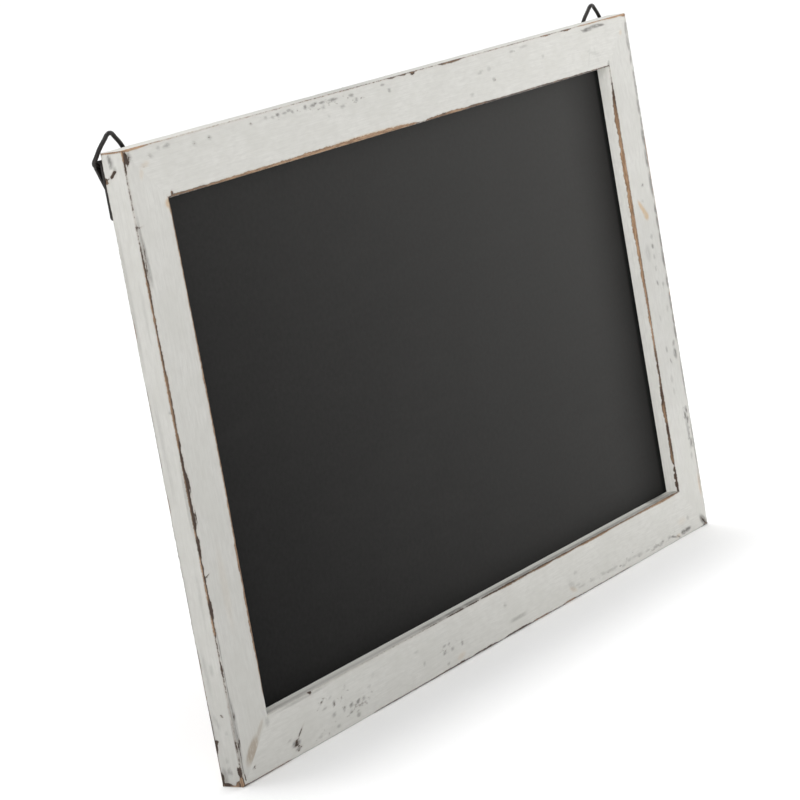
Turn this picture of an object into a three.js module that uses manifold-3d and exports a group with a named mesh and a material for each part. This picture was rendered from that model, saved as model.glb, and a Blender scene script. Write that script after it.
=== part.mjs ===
// A wall chalkboard: a dark writing panel in a mitred wooden frame, with a wire hanging ring on a
// folded steel plate behind each top corner.
// Millimetres. +X is the reader's right, +Z is up, and +Y points at the wall.
// The origin is on the frame's back plane, in the middle of the bottom rail's flat back.
import * as THREE from "three";
import { mergeVertices } from "three/addons/utils/BufferGeometryUtils.js";
import Module from "manifold-3d";

const wasm = await Module();
wasm.setup();

// Frame of four mitred bars
const FRAME_WIDTH = 610;
const FRAME_HEIGHT = 406;
const FRAME_THICKNESS = 18;
const BAR_WIDTH = 36;
const RABBET_WIDTH = 6; // how far the step for the panel is cut into each bar
const PANEL_RECESS = 11.5; // from the frame's front face back to the writing surface
const GLUE_LINE = 0.15; // left by each mitred end
const FRONT_EDGE_RADIUS = 1.2;
const BACK_EDGE_RADIUS = 1;
const EDGE_STEPS = 4;

// Clearances
const SEAT_GAP = 0.3; // between a piece and the flat face it rests on
const SLOT_GAP = 0.3; // around what is driven into the wood
const OVERRUN = 2; // how far a cut runs past the surface it opens

// Writing panel
const PANEL_THICKNESS = 3;
const PANEL_EDGE_GAP = 0.5; // between the panel's edge and the step's wall

// V-shaped nails across the back of each mitre
const V_NAIL_LEG = 5;
const V_NAIL_METAL = 0.6;
const V_NAIL_DEPTH = 10;
const V_NAIL_SUNK = 0.6;
const V_NAIL_HALF_ANGLE = THREE.MathUtils.degToRad(55);
const V_NAIL_INSETS = [8, 21]; // from the two outer edges of the corner

// Flat steel points that hold the panel in its step
const POINT_WIDTH = 6;
const POINT_METAL = 0.5;
const POINT_SHOWING = 7;
const POINT_BURIED = 5;
const POINT_TIP = 3;
const POINT_SPACING = 170; // along each bar
const POINTS_LONG_SIDE = 3;
const POINTS_SHORT_SIDE = 2;

// Hanging plate, a strip folded round the ring's wire
const PLATE_WIDTH = 26.4;
const PLATE_METAL = 1.5;
const PLATE_DROP = 34.3; // from the fold's centre to the plate's lower end
const PLATE_CORNER_RADIUS = 3;
const PLATE_CORNER_STEPS = 4;
const FOLD_RADIUS = 3.5; // outside
const FOLD_STEPS = 12;
const FOLD_TAIL_DROP = 14.4; // from the fold's centre to where the tail meets the plate
const LEFT_HANGER_INSET = 14; // from the frame's outer edge to the hanger's middle, both set by eye
const RIGHT_HANGER_INSET = 16.5;
const FOLD_BELOW_TOP = 8.1; // from the frame's top edge to the fold's centre

// Hanging ring, a triangle of round wire, its two ends butted inside the fold
const WIRE_RADIUS = 1.15;
const WIRE_SIDES = 6;
const WIRE_STEPS = 84;
const WIRE_END_GAP = 1; // between the two ends
const RING_LEG_SLOPE = THREE.MathUtils.degToRad(48.15); // from the base
const RING_LEG_CLEARANCE = 0.5; // between a leg and the top of the fold's end
const RING_TOP_RADIUS = 3;
const RING_BASE_RADIUS = 1.4;
const RING_PLAY = 0.3; // between the wire and the inside of the fold where it bears
const RING_BEARS_AT = THREE.MathUtils.degToRad(45); // above the line to the wall
const RING_LEAN = THREE.MathUtils.degToRad(10); // towards the frame, from upright

// Pan-head wood screws, two through each plate
const SCREW_HEAD_RADIUS = 3;
const SCREW_HEAD_HEIGHT = 1.9;
const SCREW_HEAD_RIM = 0.7;
const SCREW_SHANK_RADIUS = 1.5;
const SCREW_LENGTH = 12;
const SCREW_TIP = 3;
const SCREW_SIDES = 20;
const SCREW_SPACING = 13;
const SCREW_BELOW_FOLD = 25.5;
const SCREW_CROSS_LENGTH = 3.4;
const SCREW_CROSS_WIDTH = 0.8;
const SCREW_CROSS_DEPTH = 1.1;

// Places that several pieces share
const LEFT = -FRAME_WIDTH / 2;
const RIGHT = FRAME_WIDTH / 2;
const BACK = 0;
const FRONT = BACK - FRAME_THICKNESS;
const BOTTOM = -(BAR_WIDTH - RABBET_WIDTH) / 2;
const TOP = BOTTOM + FRAME_HEIGHT;
const MIDDLE = (BOTTOM + TOP) / 2;
const STEP_FACE = FRONT + PANEL_RECESS - SEAT_GAP; // the lip's back, which the panel lies against
const PANEL_FACE = FRONT + PANEL_RECESS;
const PANEL_BACK = PANEL_FACE + PANEL_THICKNESS;
const STEP_OPENING_WIDTH = FRAME_WIDTH - 2 * (BAR_WIDTH - RABBET_WIDTH);
const STEP_OPENING_HEIGHT = FRAME_HEIGHT - 2 * (BAR_WIDTH - RABBET_WIDTH);

// The ring's sizes, to the sharp corners of the wire's middle line, follow from the plate's fold
const WIRE_OFF_CENTRE = FOLD_RADIUS - PLATE_METAL - WIRE_RADIUS - RING_PLAY;
const WIRE_BACK = WIRE_OFF_CENTRE * Math.cos(RING_BEARS_AT);
const WIRE_UP = WIRE_OFF_CENTRE * Math.sin(RING_BEARS_AT);
const LEG_RISE = FOLD_RADIUS - WIRE_UP + RING_LEG_CLEARANCE + WIRE_RADIUS / Math.cos(RING_LEG_SLOPE);
const RING_HALF_WIDTH = PLATE_WIDTH / 2 + LEG_RISE / Math.tan(RING_LEG_SLOPE);
const RING_HEIGHT = RING_HALF_WIDTH * Math.tan(RING_LEG_SLOPE);

const PAINTED_WOOD = new THREE.MeshStandardMaterial({ color: 0xd6d5cf, roughness: 0.75, metalness: 0 });
const CHALK_SURFACE = new THREE.MeshStandardMaterial({ color: 0x2b2a28, roughness: 0.85, metalness: 0 });
const BLACK_STEEL = new THREE.MeshStandardMaterial({ color: 0x24211f, roughness: 0.5, metalness: 0.6 });
const BARE_STEEL = new THREE.MeshStandardMaterial({ color: 0x9a9c9e, roughness: 0.4, metalness: 0.9 });

// A closed mesh's geometry as a solid that can be cut.
function solidOf(geometry) {
  const bare = geometry.clone();
  bare.deleteAttribute("normal");
  bare.deleteAttribute("uv");
  const merged = mergeVertices(bare);
  return new wasm.Manifold(
    new wasm.Mesh({
      numProp: merged.attributes.position.itemSize,
      vertProperties: merged.attributes.position.array,
      triVerts: new Uint32Array(merged.index.array),
    }),
  );
}

function geometryOf(solid) {
  const mesh = solid.getMesh();
  const geometry = new THREE.BufferGeometry();
  geometry.setAttribute("position", new THREE.BufferAttribute(mesh.vertProperties, mesh.numProp));
  geometry.setIndex(new THREE.BufferAttribute(mesh.triVerts, 1));
  geometry.computeVertexNormals();
  return geometry;
}

// The cutter's solid, carried from its own place into the mesh's frame.
function carried(cutter, mesh) {
  cutter.updateWorldMatrix(true, false);
  mesh.updateWorldMatrix(true, false);
  const across = mesh.matrixWorld.clone().invert().multiply(cutter.matrixWorld);
  return solidOf(cutter.geometry.clone().applyMatrix4(across));
}

function carve(mesh, cutters) {
  const solid = cutters.reduce((left, cutter) => left.subtract(carried(cutter, mesh)), solidOf(mesh.geometry));
  mesh.geometry = geometryOf(solid);
  return mesh;
}

function named(name, geometry, material) {
  const mesh = new THREE.Mesh(geometry, material);
  mesh.name = name;
  return mesh;
}

function at(object, x, y, z) {
  object.position.set(x, y, z);
  return object;
}

// A flat outline in X and Z, as thick as asked, from y = 0 towards the front.
function slab(outline, thickness) {
  const shape = new THREE.Shape(outline.map(([x, z]) => new THREE.Vector2(x, z)));
  return new THREE.ExtrudeGeometry(shape, { depth: thickness, bevelEnabled: false }).rotateX(Math.PI / 2);
}

// A bar's cross-section: x runs in from its outer edge, and y from the front face to the back.
function barSection() {
  const inner = BAR_WIDTH;
  const step = BAR_WIDTH - RABBET_WIDTH;
  const section = new THREE.Shape();
  section.absarc(inner - FRONT_EDGE_RADIUS, FRONT + FRONT_EDGE_RADIUS, FRONT_EDGE_RADIUS, -Math.PI / 2, 0);
  section.lineTo(inner, STEP_FACE);
  section.lineTo(step, STEP_FACE);
  section.lineTo(step, BACK);
  section.absarc(BACK_EDGE_RADIUS, BACK - BACK_EDGE_RADIUS, BACK_EDGE_RADIUS, Math.PI / 2, Math.PI);
  section.absarc(FRONT_EDGE_RADIUS, FRONT + FRONT_EDGE_RADIUS, FRONT_EDGE_RADIUS, Math.PI, Math.PI * 1.5);
  return section;
}

// A mitred bar along X with its outer edge up: what lies u in from that edge stops u short of the corner.
function bar(name, length) {
  const geometry = new THREE.ExtrudeGeometry(barSection(), {
    depth: length,
    bevelEnabled: false,
    curveSegments: EDGE_STEPS,
  });
  const places = geometry.attributes.position;
  for (let i = 0; i < places.count; i++) {
    const inward = places.getX(i);
    const end = Math.sign(places.getZ(i) - length / 2);
    places.setXYZ(i, end * (length / 2 - inward - GLUE_LINE), places.getY(i), -inward);
  }
  return named(name, geometry, PAINTED_WOOD);
}

function makeFrame() {
  const topRail = at(bar("top_rail", FRAME_WIDTH), 0, 0, TOP);
  const bottomRail = at(bar("bottom_rail", FRAME_WIDTH), 0, 0, BOTTOM);
  const leftStile = at(bar("left_stile", FRAME_HEIGHT), LEFT, 0, MIDDLE);
  const rightStile = at(bar("right_stile", FRAME_HEIGHT), RIGHT, 0, MIDDLE);
  bottomRail.rotation.y = Math.PI;
  leftStile.rotation.y = -Math.PI / 2;
  rightStile.rotation.y = Math.PI / 2;
  return { topRail, bottomRail, leftStile, rightStile };
}

function makePanel() {
  const width = STEP_OPENING_WIDTH - 2 * PANEL_EDGE_GAP;
  const height = STEP_OPENING_HEIGHT - 2 * PANEL_EDGE_GAP;
  const sheet = new THREE.BoxGeometry(width, PANEL_THICKNESS, height);
  return at(named("chalkboard_panel", sheet, CHALK_SURFACE), 0, (PANEL_FACE + PANEL_BACK) / 2, MIDDLE);
}

// A V whose point is at the origin and which opens along +X, grown all round by grow.
function vOutline(grow) {
  const sine = Math.sin(V_NAIL_HALF_ANGLE);
  const cosine = Math.cos(V_NAIL_HALF_ANGLE);
  const reach = V_NAIL_LEG + grow;
  const outside = -grow;
  const inside = V_NAIL_METAL + grow;
  const upper = (off) => [reach * cosine + off * sine, reach * sine - off * cosine];
  const lower = (off) => [upper(off)[0], -upper(off)[1]];
  return [[outside / sine, 0], lower(outside), lower(inside), [inside / sine, 0], upper(inside), upper(outside)];
}

// The nails of one corner, and the slots that they need in its two bars.
function makeVNails(label, sideX, sideZ) {
  const inX = -Math.sign(sideX);
  const inZ = -Math.sign(sideZ - MIDDLE);
  const turn = Math.atan2(-inZ, inX);
  const nails = [];
  const slots = [];
  V_NAIL_INSETS.forEach((inset, i) => {
    const x = sideX + inX * inset;
    const z = sideZ + inZ * inset;
    const nail = named(`v_nail_${label}_${i + 1}`, slab(vOutline(0), V_NAIL_DEPTH), BARE_STEEL);
    const slot = new THREE.Mesh(slab(vOutline(SLOT_GAP), V_NAIL_SUNK + V_NAIL_DEPTH + SLOT_GAP + OVERRUN));
    at(nail, x, BACK - V_NAIL_SUNK, z).rotation.y = turn;
    at(slot, x, BACK + OVERRUN, z).rotation.y = turn;
    nails.push(nail);
    slots.push(slot);
  });
  return { nails, slots };
}

// A steel point with its tip in the wood along +X and its tail over the panel.
function pointOutline() {
  const half = POINT_WIDTH / 2;
  const shoulder = POINT_BURIED - POINT_TIP;
  return [[-POINT_SHOWING, -half], [shoulder, -half], [POINT_BURIED, 0], [shoulder, half], [-POINT_SHOWING, half]];
}

function pointSlotOutline() {
  const half = POINT_WIDTH / 2 + SLOT_GAP;
  return [[-OVERRUN, -half], [POINT_BURIED + SLOT_GAP, -half], [POINT_BURIED + SLOT_GAP, half], [-OVERRUN, half]];
}

// The points along one bar. (wallX, wallZ) is the middle of the step's wall, and turn aims +X into the wood.
function makePoints(label, count, wallX, wallZ, turn) {
  const behindPanel = PANEL_BACK + SEAT_GAP;
  const alongX = Math.abs(Math.sin(turn));
  const alongZ = Math.abs(Math.cos(turn));
  const points = [];
  const slots = [];
  for (let i = 0; i < count; i++) {
    const along = (i - (count - 1) / 2) * POINT_SPACING;
    const x = wallX + alongX * along;
    const z = wallZ + alongZ * along;
    const point = named(`framing_point_${label}_${i + 1}`, slab(pointOutline(), POINT_METAL), BARE_STEEL);
    const slot = new THREE.Mesh(slab(pointSlotOutline(), POINT_METAL + 2 * SLOT_GAP));
    at(point, x, behindPanel + POINT_METAL, z).rotation.y = turn;
    at(slot, x, behindPanel + POINT_METAL + SLOT_GAP, z).rotation.y = turn;
    points.push(point);
    slots.push(slot);
  }
  return { points, slots };
}

// The plate's side view: x runs from the frame towards the wall, y is up, and (0, 0) is level with the fold.
function plateSection() {
  const inside = FOLD_RADIUS - PLATE_METAL;
  const foot = new THREE.Vector2(PLATE_METAL, -FOLD_TAIL_DROP);
  const toFoot = foot.clone().sub(new THREE.Vector2(FOLD_RADIUS, 0));
  // The tail leaves the fold along the line from its foot that just touches the fold's outside.
  const leaves = toFoot.angle() - 2 * Math.PI + Math.acos(FOLD_RADIUS / toFoot.length());
  const down = new THREE.Vector2(Math.sin(leaves), -Math.cos(leaves));
  const innerStart = new THREE.Vector2(FOLD_RADIUS + inside * Math.cos(leaves), inside * Math.sin(leaves));
  const innerEnd = innerStart.y + ((PLATE_METAL - innerStart.x) / down.x) * down.y;
  const section = new THREE.Shape();
  section.moveTo(0, -PLATE_DROP);
  section.lineTo(0, 0);
  section.absarc(FOLD_RADIUS, 0, FOLD_RADIUS, Math.PI, leaves, true);
  section.lineTo(foot.x, foot.y);
  section.lineTo(PLATE_METAL, -PLATE_DROP);
  const eye = new THREE.Path();
  eye.moveTo(PLATE_METAL, innerEnd);
  eye.lineTo(innerStart.x, innerStart.y);
  eye.absarc(FOLD_RADIUS, 0, inside, leaves, Math.PI);
  section.holes.push(eye);
  return section;
}

function roundedRectangle(width, low, high, radius) {
  const half = width / 2;
  const shape = new THREE.Shape();
  shape.moveTo(half, high);
  shape.lineTo(-half, high);
  shape.absarc(-half + radius, low + radius, radius, Math.PI, Math.PI * 1.5);
  shape.absarc(half - radius, low + radius, radius, -Math.PI / 2, 0);
  return shape;
}

// The plate in the hanger's frame, whose origin is on the plate's front, level with the fold.
function makePlate(name, holes) {
  const swap = new THREE.Matrix4().makeBasis(
    new THREE.Vector3(0, 1, 0),
    new THREE.Vector3(0, 0, 1),
    new THREE.Vector3(1, 0, 0),
  );
  const folded = new THREE.ExtrudeGeometry(plateSection(), {
    depth: PLATE_WIDTH,
    bevelEnabled: false,
    curveSegments: FOLD_STEPS,
  });
  folded.translate(0, 0, -PLATE_WIDTH / 2).applyMatrix4(swap);
  const outline = roundedRectangle(PLATE_WIDTH + SLOT_GAP, -PLATE_DROP, FOLD_RADIUS + OVERRUN, PLATE_CORNER_RADIUS);
  const deep = 2 * FOLD_RADIUS + 2 * OVERRUN;
  const trim = new THREE.ExtrudeGeometry(outline, {
    depth: deep,
    bevelEnabled: false,
    curveSegments: PLATE_CORNER_STEPS,
  });
  trim.rotateX(Math.PI / 2).translate(0, deep - OVERRUN, 0);
  const blank = holes.reduce(
    (left, hole) => left.subtract(solidOf(hole)),
    solidOf(folded).intersect(solidOf(trim)),
  );
  return named(name, geometryOf(blank), BLACK_STEEL);
}

// A flat path, given in X and Z, as a curve in space.
class FlatCurve extends THREE.Curve {
  constructor(path) {
    super();
    this.path = path;
  }
  getPoint(t, target = new THREE.Vector3()) {
    const p = this.path.getPoint(t);
    return target.set(p.x, 0, p.y);
  }
}

// The ring's middle line: along the base, round three corners, and back to the base's middle.
function ringPath() {
  const slope = RING_LEG_SLOPE;
  const topDrop = RING_TOP_RADIUS / Math.cos(slope);
  const centreX = RING_HALF_WIDTH - RING_BASE_RADIUS / Math.tan(slope / 2);
  const path = new THREE.Path();
  path.moveTo(WIRE_END_GAP / 2, 0);
  path.lineTo(centreX, 0);
  path.absarc(centreX, RING_BASE_RADIUS, RING_BASE_RADIUS, -Math.PI / 2, Math.PI / 2 - slope);
  path.absarc(0, RING_HEIGHT - topDrop, RING_TOP_RADIUS, Math.PI / 2 - slope, Math.PI / 2 + slope);
  path.absarc(-centreX, RING_BASE_RADIUS, RING_BASE_RADIUS, Math.PI / 2 + slope, Math.PI * 1.5);
  path.lineTo(-WIRE_END_GAP / 2, 0);
  return path;
}

function makeRing(name) {
  const wire = new THREE.Shape();
  wire.absarc(0, 0, WIRE_RADIUS, 0, 2 * Math.PI);
  const geometry = new THREE.ExtrudeGeometry(wire, {
    steps: WIRE_STEPS,
    curveSegments: WIRE_SIDES,
    extrudePath: new FlatCurve(ringPath()),
  });
  return named(name, geometry, BLACK_STEEL);
}

// A screw along Y with the head's seat at the origin and its point towards the front.
function screwGeometry() {
  const outline = [
    [0, -SCREW_LENGTH],
    [SCREW_SHANK_RADIUS, -SCREW_LENGTH + SCREW_TIP],
    [SCREW_SHANK_RADIUS, 0],
    [SCREW_HEAD_RADIUS, 0],
    [SCREW_HEAD_RADIUS, SCREW_HEAD_RIM],
    [SCREW_HEAD_RADIUS * Math.cos(Math.PI / 4), SCREW_HEAD_HEIGHT],
    [0, SCREW_HEAD_HEIGHT],
  ];
  const turned = new THREE.LatheGeometry(outline.map(([r, y]) => new THREE.Vector2(r, y)), SCREW_SIDES);
  const deep = SCREW_CROSS_DEPTH + OVERRUN;
  const cross = [
    new THREE.BoxGeometry(SCREW_CROSS_LENGTH, deep, SCREW_CROSS_WIDTH),
    new THREE.BoxGeometry(SCREW_CROSS_WIDTH, deep, SCREW_CROSS_LENGTH),
  ];
  const cut = cross.reduce(
    (left, bar) => left.subtract(solidOf(bar.translate(0, SCREW_HEAD_HEIGHT - SCREW_CROSS_DEPTH + deep / 2, 0))),
    solidOf(turned),
  );
  return geometryOf(cut);
}

// A round hole along Y, from y = low to y = high.
function boreGeometry(low, high) {
  const radius = SCREW_SHANK_RADIUS + SLOT_GAP;
  return new THREE.CylinderGeometry(radius, radius, high - low, SCREW_SIDES).translate(0, (low + high) / 2, 0);
}

// One hanger, whose origin is on the plate's front, level with the fold, and the holes that it needs in the frame.
function makeHanger(side, middle) {
  const hanger = at(new THREE.Group(), middle, BACK + SEAT_GAP, TOP - FOLD_BELOW_TOP);
  const spots = [-SCREW_SPACING / 2, SCREW_SPACING / 2];
  const holes = spots.map((x) => boreGeometry(-OVERRUN, PLATE_METAL + OVERRUN).translate(x, 0, -SCREW_BELOW_FOLD));
  hanger.add(makePlate(`${side}_hanger_plate`, holes));

  const ring = makeRing(`${side}_hanger_ring`);
  at(ring, 0, FOLD_RADIUS + WIRE_BACK, WIRE_UP);
  ring.rotation.x = RING_LEAN;
  hanger.add(ring);

  const pilots = [];
  spots.forEach((x, i) => {
    const screw = named(`${side}_hanger_screw_${i + 1}`, screwGeometry(), BLACK_STEEL);
    hanger.add(at(screw, x, PLATE_METAL + SEAT_GAP, -SCREW_BELOW_FOLD));
    const pilot = new THREE.Mesh(boreGeometry(-SCREW_LENGTH, OVERRUN));
    hanger.add(at(pilot, x, PLATE_METAL, -SCREW_BELOW_FOLD));
    pilots.push(pilot);
  });
  return { hanger, pilots };
}

function build() {
  const { topRail, bottomRail, leftStile, rightStile } = makeFrame();
  const topLeft = makeVNails("top_left", LEFT, TOP);
  const topRight = makeVNails("top_right", RIGHT, TOP);
  const bottomLeft = makeVNails("bottom_left", LEFT, BOTTOM);
  const bottomRight = makeVNails("bottom_right", RIGHT, BOTTOM);

  const wallX = STEP_OPENING_WIDTH / 2;
  const wallZ = STEP_OPENING_HEIGHT / 2;
  const topPoints = makePoints("top", POINTS_LONG_SIDE, 0, MIDDLE + wallZ, -Math.PI / 2);
  const bottomPoints = makePoints("bottom", POINTS_LONG_SIDE, 0, MIDDLE - wallZ, Math.PI / 2);
  const leftPoints = makePoints("left", POINTS_SHORT_SIDE, -wallX, MIDDLE, Math.PI);
  const rightPoints = makePoints("right", POINTS_SHORT_SIDE, wallX, MIDDLE, 0);

  const leftHanger = makeHanger("left", LEFT + LEFT_HANGER_INSET);
  const rightHanger = makeHanger("right", RIGHT - RIGHT_HANGER_INSET);

  carve(topRail, [...topLeft.slots, ...topRight.slots, ...topPoints.slots]);
  carve(bottomRail, [...bottomLeft.slots, ...bottomRight.slots, ...bottomPoints.slots]);
  carve(leftStile, [...topLeft.slots, ...bottomLeft.slots, ...leftPoints.slots, ...leftHanger.pilots]);
  carve(rightStile, [...topRight.slots, ...bottomRight.slots, ...rightPoints.slots, ...rightHanger.pilots]);
  [...leftHanger.pilots, ...rightHanger.pilots].forEach((pilot) => pilot.removeFromParent());

  const board = new THREE.Group();
  board.add(topRail, bottomRail, leftStile, rightStile, makePanel());
  for (const corner of [topLeft, topRight, bottomLeft, bottomRight]) board.add(...corner.nails);
  for (const row of [topPoints, bottomPoints, leftPoints, rightPoints]) board.add(...row.points);
  board.add(leftHanger.hanger, rightHanger.hanger);
  return board;
}

export default build();
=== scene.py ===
# The looks of the wall chalkboard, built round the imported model. Metres, in the model's own frame.
# +X is the reader's right, +Z is up, and +Y points at the wall.
import math

import bmesh
import bpy
import numpy as np
from mathutils import Matrix, Vector


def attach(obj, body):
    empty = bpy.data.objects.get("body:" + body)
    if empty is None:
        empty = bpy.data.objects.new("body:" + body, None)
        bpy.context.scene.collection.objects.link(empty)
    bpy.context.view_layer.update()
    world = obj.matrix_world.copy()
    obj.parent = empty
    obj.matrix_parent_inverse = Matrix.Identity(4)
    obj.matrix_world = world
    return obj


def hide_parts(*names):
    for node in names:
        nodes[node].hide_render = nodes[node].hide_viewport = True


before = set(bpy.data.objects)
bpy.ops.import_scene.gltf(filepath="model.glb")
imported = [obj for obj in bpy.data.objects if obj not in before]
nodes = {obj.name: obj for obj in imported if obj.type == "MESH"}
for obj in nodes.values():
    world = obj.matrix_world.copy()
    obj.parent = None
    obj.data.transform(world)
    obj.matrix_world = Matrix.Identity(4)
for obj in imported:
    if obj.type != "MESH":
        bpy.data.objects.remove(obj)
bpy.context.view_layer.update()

MM = 0.001
X, Y, Z = np.eye(3)

# The frame's sizes in millimetres, as in the solids
WIDTH, HEIGHT, THICKNESS = 610.0, 406.0, 18.0
BAR = 36.0
STEP = 30.0  # from a bar's outer edge to the wall of the step behind the panel
LIP = 11.2  # from the front face to the lip's back
GLUE_LINE = 0.01  # the paint bridges the joint
FRONT_RADIUS, BACK_RADIUS = 1.2, 1.0
LEFT, RIGHT = -WIDTH / 2, WIDTH / 2
FRONT = -THICKNESS
BOTTOM, TOP = -15.0, 391.0
MIDDLE = (BOTTOM + TOP) / 2
PANEL_FACE, PANEL_BACK = -6.5, -3.5


# ---------------------------------------------------------------- shader building
class Look:
    """A node material that is put together from short calls."""

    def __init__(self, name):
        self.material = bpy.data.materials.new(name)
        self.material.use_nodes = True
        self.tree = self.material.node_tree
        self.tree.nodes.clear()

    def node(self, kind, inputs=(), **settings):
        made = self.tree.nodes.new("ShaderNode" + kind)
        for name, value in settings.items():
            setattr(made, name, value)
        for name, value in dict(inputs).items():
            socket = made.inputs[name]
            if isinstance(value, bpy.types.NodeSocket):
                self.tree.links.new(value, socket)
            else:
                socket.default_value = value
        return made

    def math(self, operation, *values, clamp=False):
        return self.node("Math", enumerate(values), operation=operation, use_clamp=clamp).outputs[0]

    def times(self, a, b):
        return self.math("MULTIPLY", a, b)

    def plus(self, base, *terms, clamp=False):
        """A number, and added to it each value times its weight."""
        for value, weight in terms:
            base = self.math("MULTIPLY_ADD", value, weight, base, clamp=clamp)
        return base

    def varied(self, base, *terms):
        """A number that each noise moves up and down by its weight."""
        return self.plus(base, *((self.math("SUBTRACT", noise, 0.5), weight) for noise, weight in terms))

    def step(self, value, low, high, to_low=0.0, to_high=1.0):
        """A smooth ramp from to_low at low to to_high at high."""
        inputs = {"Value": value, "From Min": low, "From Max": high, "To Min": to_low, "To Max": to_high}
        return self.node("MapRange", inputs, interpolation_type="SMOOTHSTEP").outputs[0]

    def mix(self, factor, a, b, blend="MIX"):
        return self.node("Mix", {0: factor, 6: a, 7: b}, data_type="RGBA", blend_type=blend).outputs[2]

    def layer(self, base, where, strength, colour, blend="MIX"):
        """A colour laid over another one."""
        return self.mix(self.times(where, strength), base, colour, blend)

    def grey(self, value):
        return self.node("CombineXYZ", {axis: value for axis in range(3)}).outputs[0]

    def value(self, name):
        """A number that the mesh carries."""
        return self.node("Attribute", attribute_name=name).outputs["Fac"]

    def vector(self, name):
        return self.node("Attribute", attribute_name=name).outputs["Vector"]

    def place(self):
        """Where a point is in the model's frame, in millimetres."""
        return self.scaled(self.node("TexCoord").outputs["Object"], (1000.0, 1000.0, 1000.0))

    def scaled(self, vector, by):
        return self.node("VectorMath", {0: vector, 1: by}, operation="MULTIPLY").outputs[0]

    def noise(self, vector, scale, detail, roughness, distortion=0.0):
        inputs = {"Vector": vector, "Scale": scale, "Detail": detail, "Roughness": roughness}
        inputs["Distortion"] = distortion
        return self.node("TexNoise", inputs).outputs["Fac"]

    def bump(self, height, distance, strength):
        return self.node("Bump", {"Height": height, "Distance": distance, "Strength": strength}).outputs[0]

    def finish(self, **inputs):
        shader = self.node("BsdfPrincipled", {k.replace("_", " "): v for k, v in inputs.items()})
        self.node("OutputMaterial", {"Surface": shader.outputs[0]})
        return self.material


def rgb(*screen):
    """A screen colour, 0 to 255, as the shader's linear numbers."""
    shares = [value / 255 for value in screen]
    return (*(c / 12.92 if c <= 0.04045 else ((c + 0.055) / 1.055) ** 2.4 for c in shares), 1.0)


# ---------------------------------------------------------------- mesh helpers
def new_object(name, mesh):
    made = bpy.data.objects.new(name, mesh)
    bpy.context.scene.collection.objects.link(made)
    return made


def mesh_from(name, points, faces):
    mesh = bpy.data.meshes.new(name)
    mesh.from_pydata([tuple(p) for p in points], [], faces)
    work = bmesh.new()
    work.from_mesh(mesh)
    bmesh.ops.recalc_face_normals(work, faces=work.faces)
    work.to_mesh(mesh)
    work.free()
    return mesh


def tube_faces(loops, around, first=0):
    """The side faces and the two caps of a tube of points, given loop after loop."""
    sides = []
    for i in range(loops - 1):
        a, b = first + i * around, first + (i + 1) * around
        sides += [(a + j, a + k, b + k, b + j) for j in range(around) for k in [(j + 1) % around]]
    last = first + (loops - 1) * around
    return sides, [tuple(range(first, first + around)), tuple(range(last, last + around))]


def applied(made):
    """Replaces an object's mesh by what its modifiers make of it."""
    depsgraph = bpy.context.evaluated_depsgraph_get()
    mesh = bpy.data.meshes.new_from_object(made.evaluated_get(depsgraph))
    made.modifiers.clear()
    made.data = mesh


def cut_away(made, name, mesh):
    """Takes the shape of a mesh out of an object."""
    cutter = new_object(name, mesh)
    cut = made.modifiers.new(name, "BOOLEAN")
    cut.object, cut.operation, cut.solver = cutter, "DIFFERENCE", "EXACT"
    applied(made)
    bpy.data.objects.remove(cutter)


def shade(made, angle):
    """Smooth, with a crease where faces meet more sharply than angle, in degrees."""
    made.data.shade_smooth()
    made.data.set_sharp_from_angle(angle=math.radians(angle))


def read_vectors(collection, field):
    flat = np.zeros(len(collection) * 3, np.float32)
    collection.foreach_get(field, flat)
    return flat.reshape(-1, 3).astype(float)


def carry(mesh, name, values):
    """Gives the mesh a number, or three, at each vertex for its material to read."""
    kind, field = ("FLOAT", "value") if values.ndim == 1 else ("FLOAT_VECTOR", "vector")
    mesh.attributes.new(name, kind, "POINT").data.foreach_set(field, values.astype(np.float32).ravel())


def clean_copy(name, node):
    """A node's shape as a mesh of its own, with its flat faces whole."""
    work = bmesh.new()
    work.from_mesh(nodes[node].data)
    bmesh.ops.remove_doubles(work, verts=work.verts, dist=1e-6)
    bmesh.ops.dissolve_limit(work, angle_limit=math.radians(1), verts=work.verts, edges=work.edges)
    mesh = bpy.data.meshes.new(name)
    work.to_mesh(mesh)
    work.free()
    return mesh


def give(made, material):
    made.data.materials.clear()
    made.data.materials.append(material)


def dressed(made, material, body, replaced):
    """Gives a piece its material, its body and the node whose place it takes."""
    give(made, material)
    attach(made, body)
    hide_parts(replaced)


# ---------------------------------------------------------------- the worn wooden bars
# Each bar has coordinates of its own, in millimetres: along it, in from its outer edge, and back from its front face.
BARS = {
    "top_rail": {"start": np.array([0, FRONT, TOP]), "along": X, "inward": -Z, "length": WIDTH, "axis": 0},
    "bottom_rail": {"start": np.array([0, FRONT, BOTTOM]), "along": X, "inward": Z, "length": WIDTH, "axis": 0},
    "left_stile": {"start": np.array([LEFT, FRONT, MIDDLE]), "along": Z, "inward": X, "length": HEIGHT, "axis": 2},
    "right_stile": {"start": np.array([RIGHT, FRONT, MIDDLE]), "along": Z, "inward": -X, "length": HEIGHT, "axis": 2},
}

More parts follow.
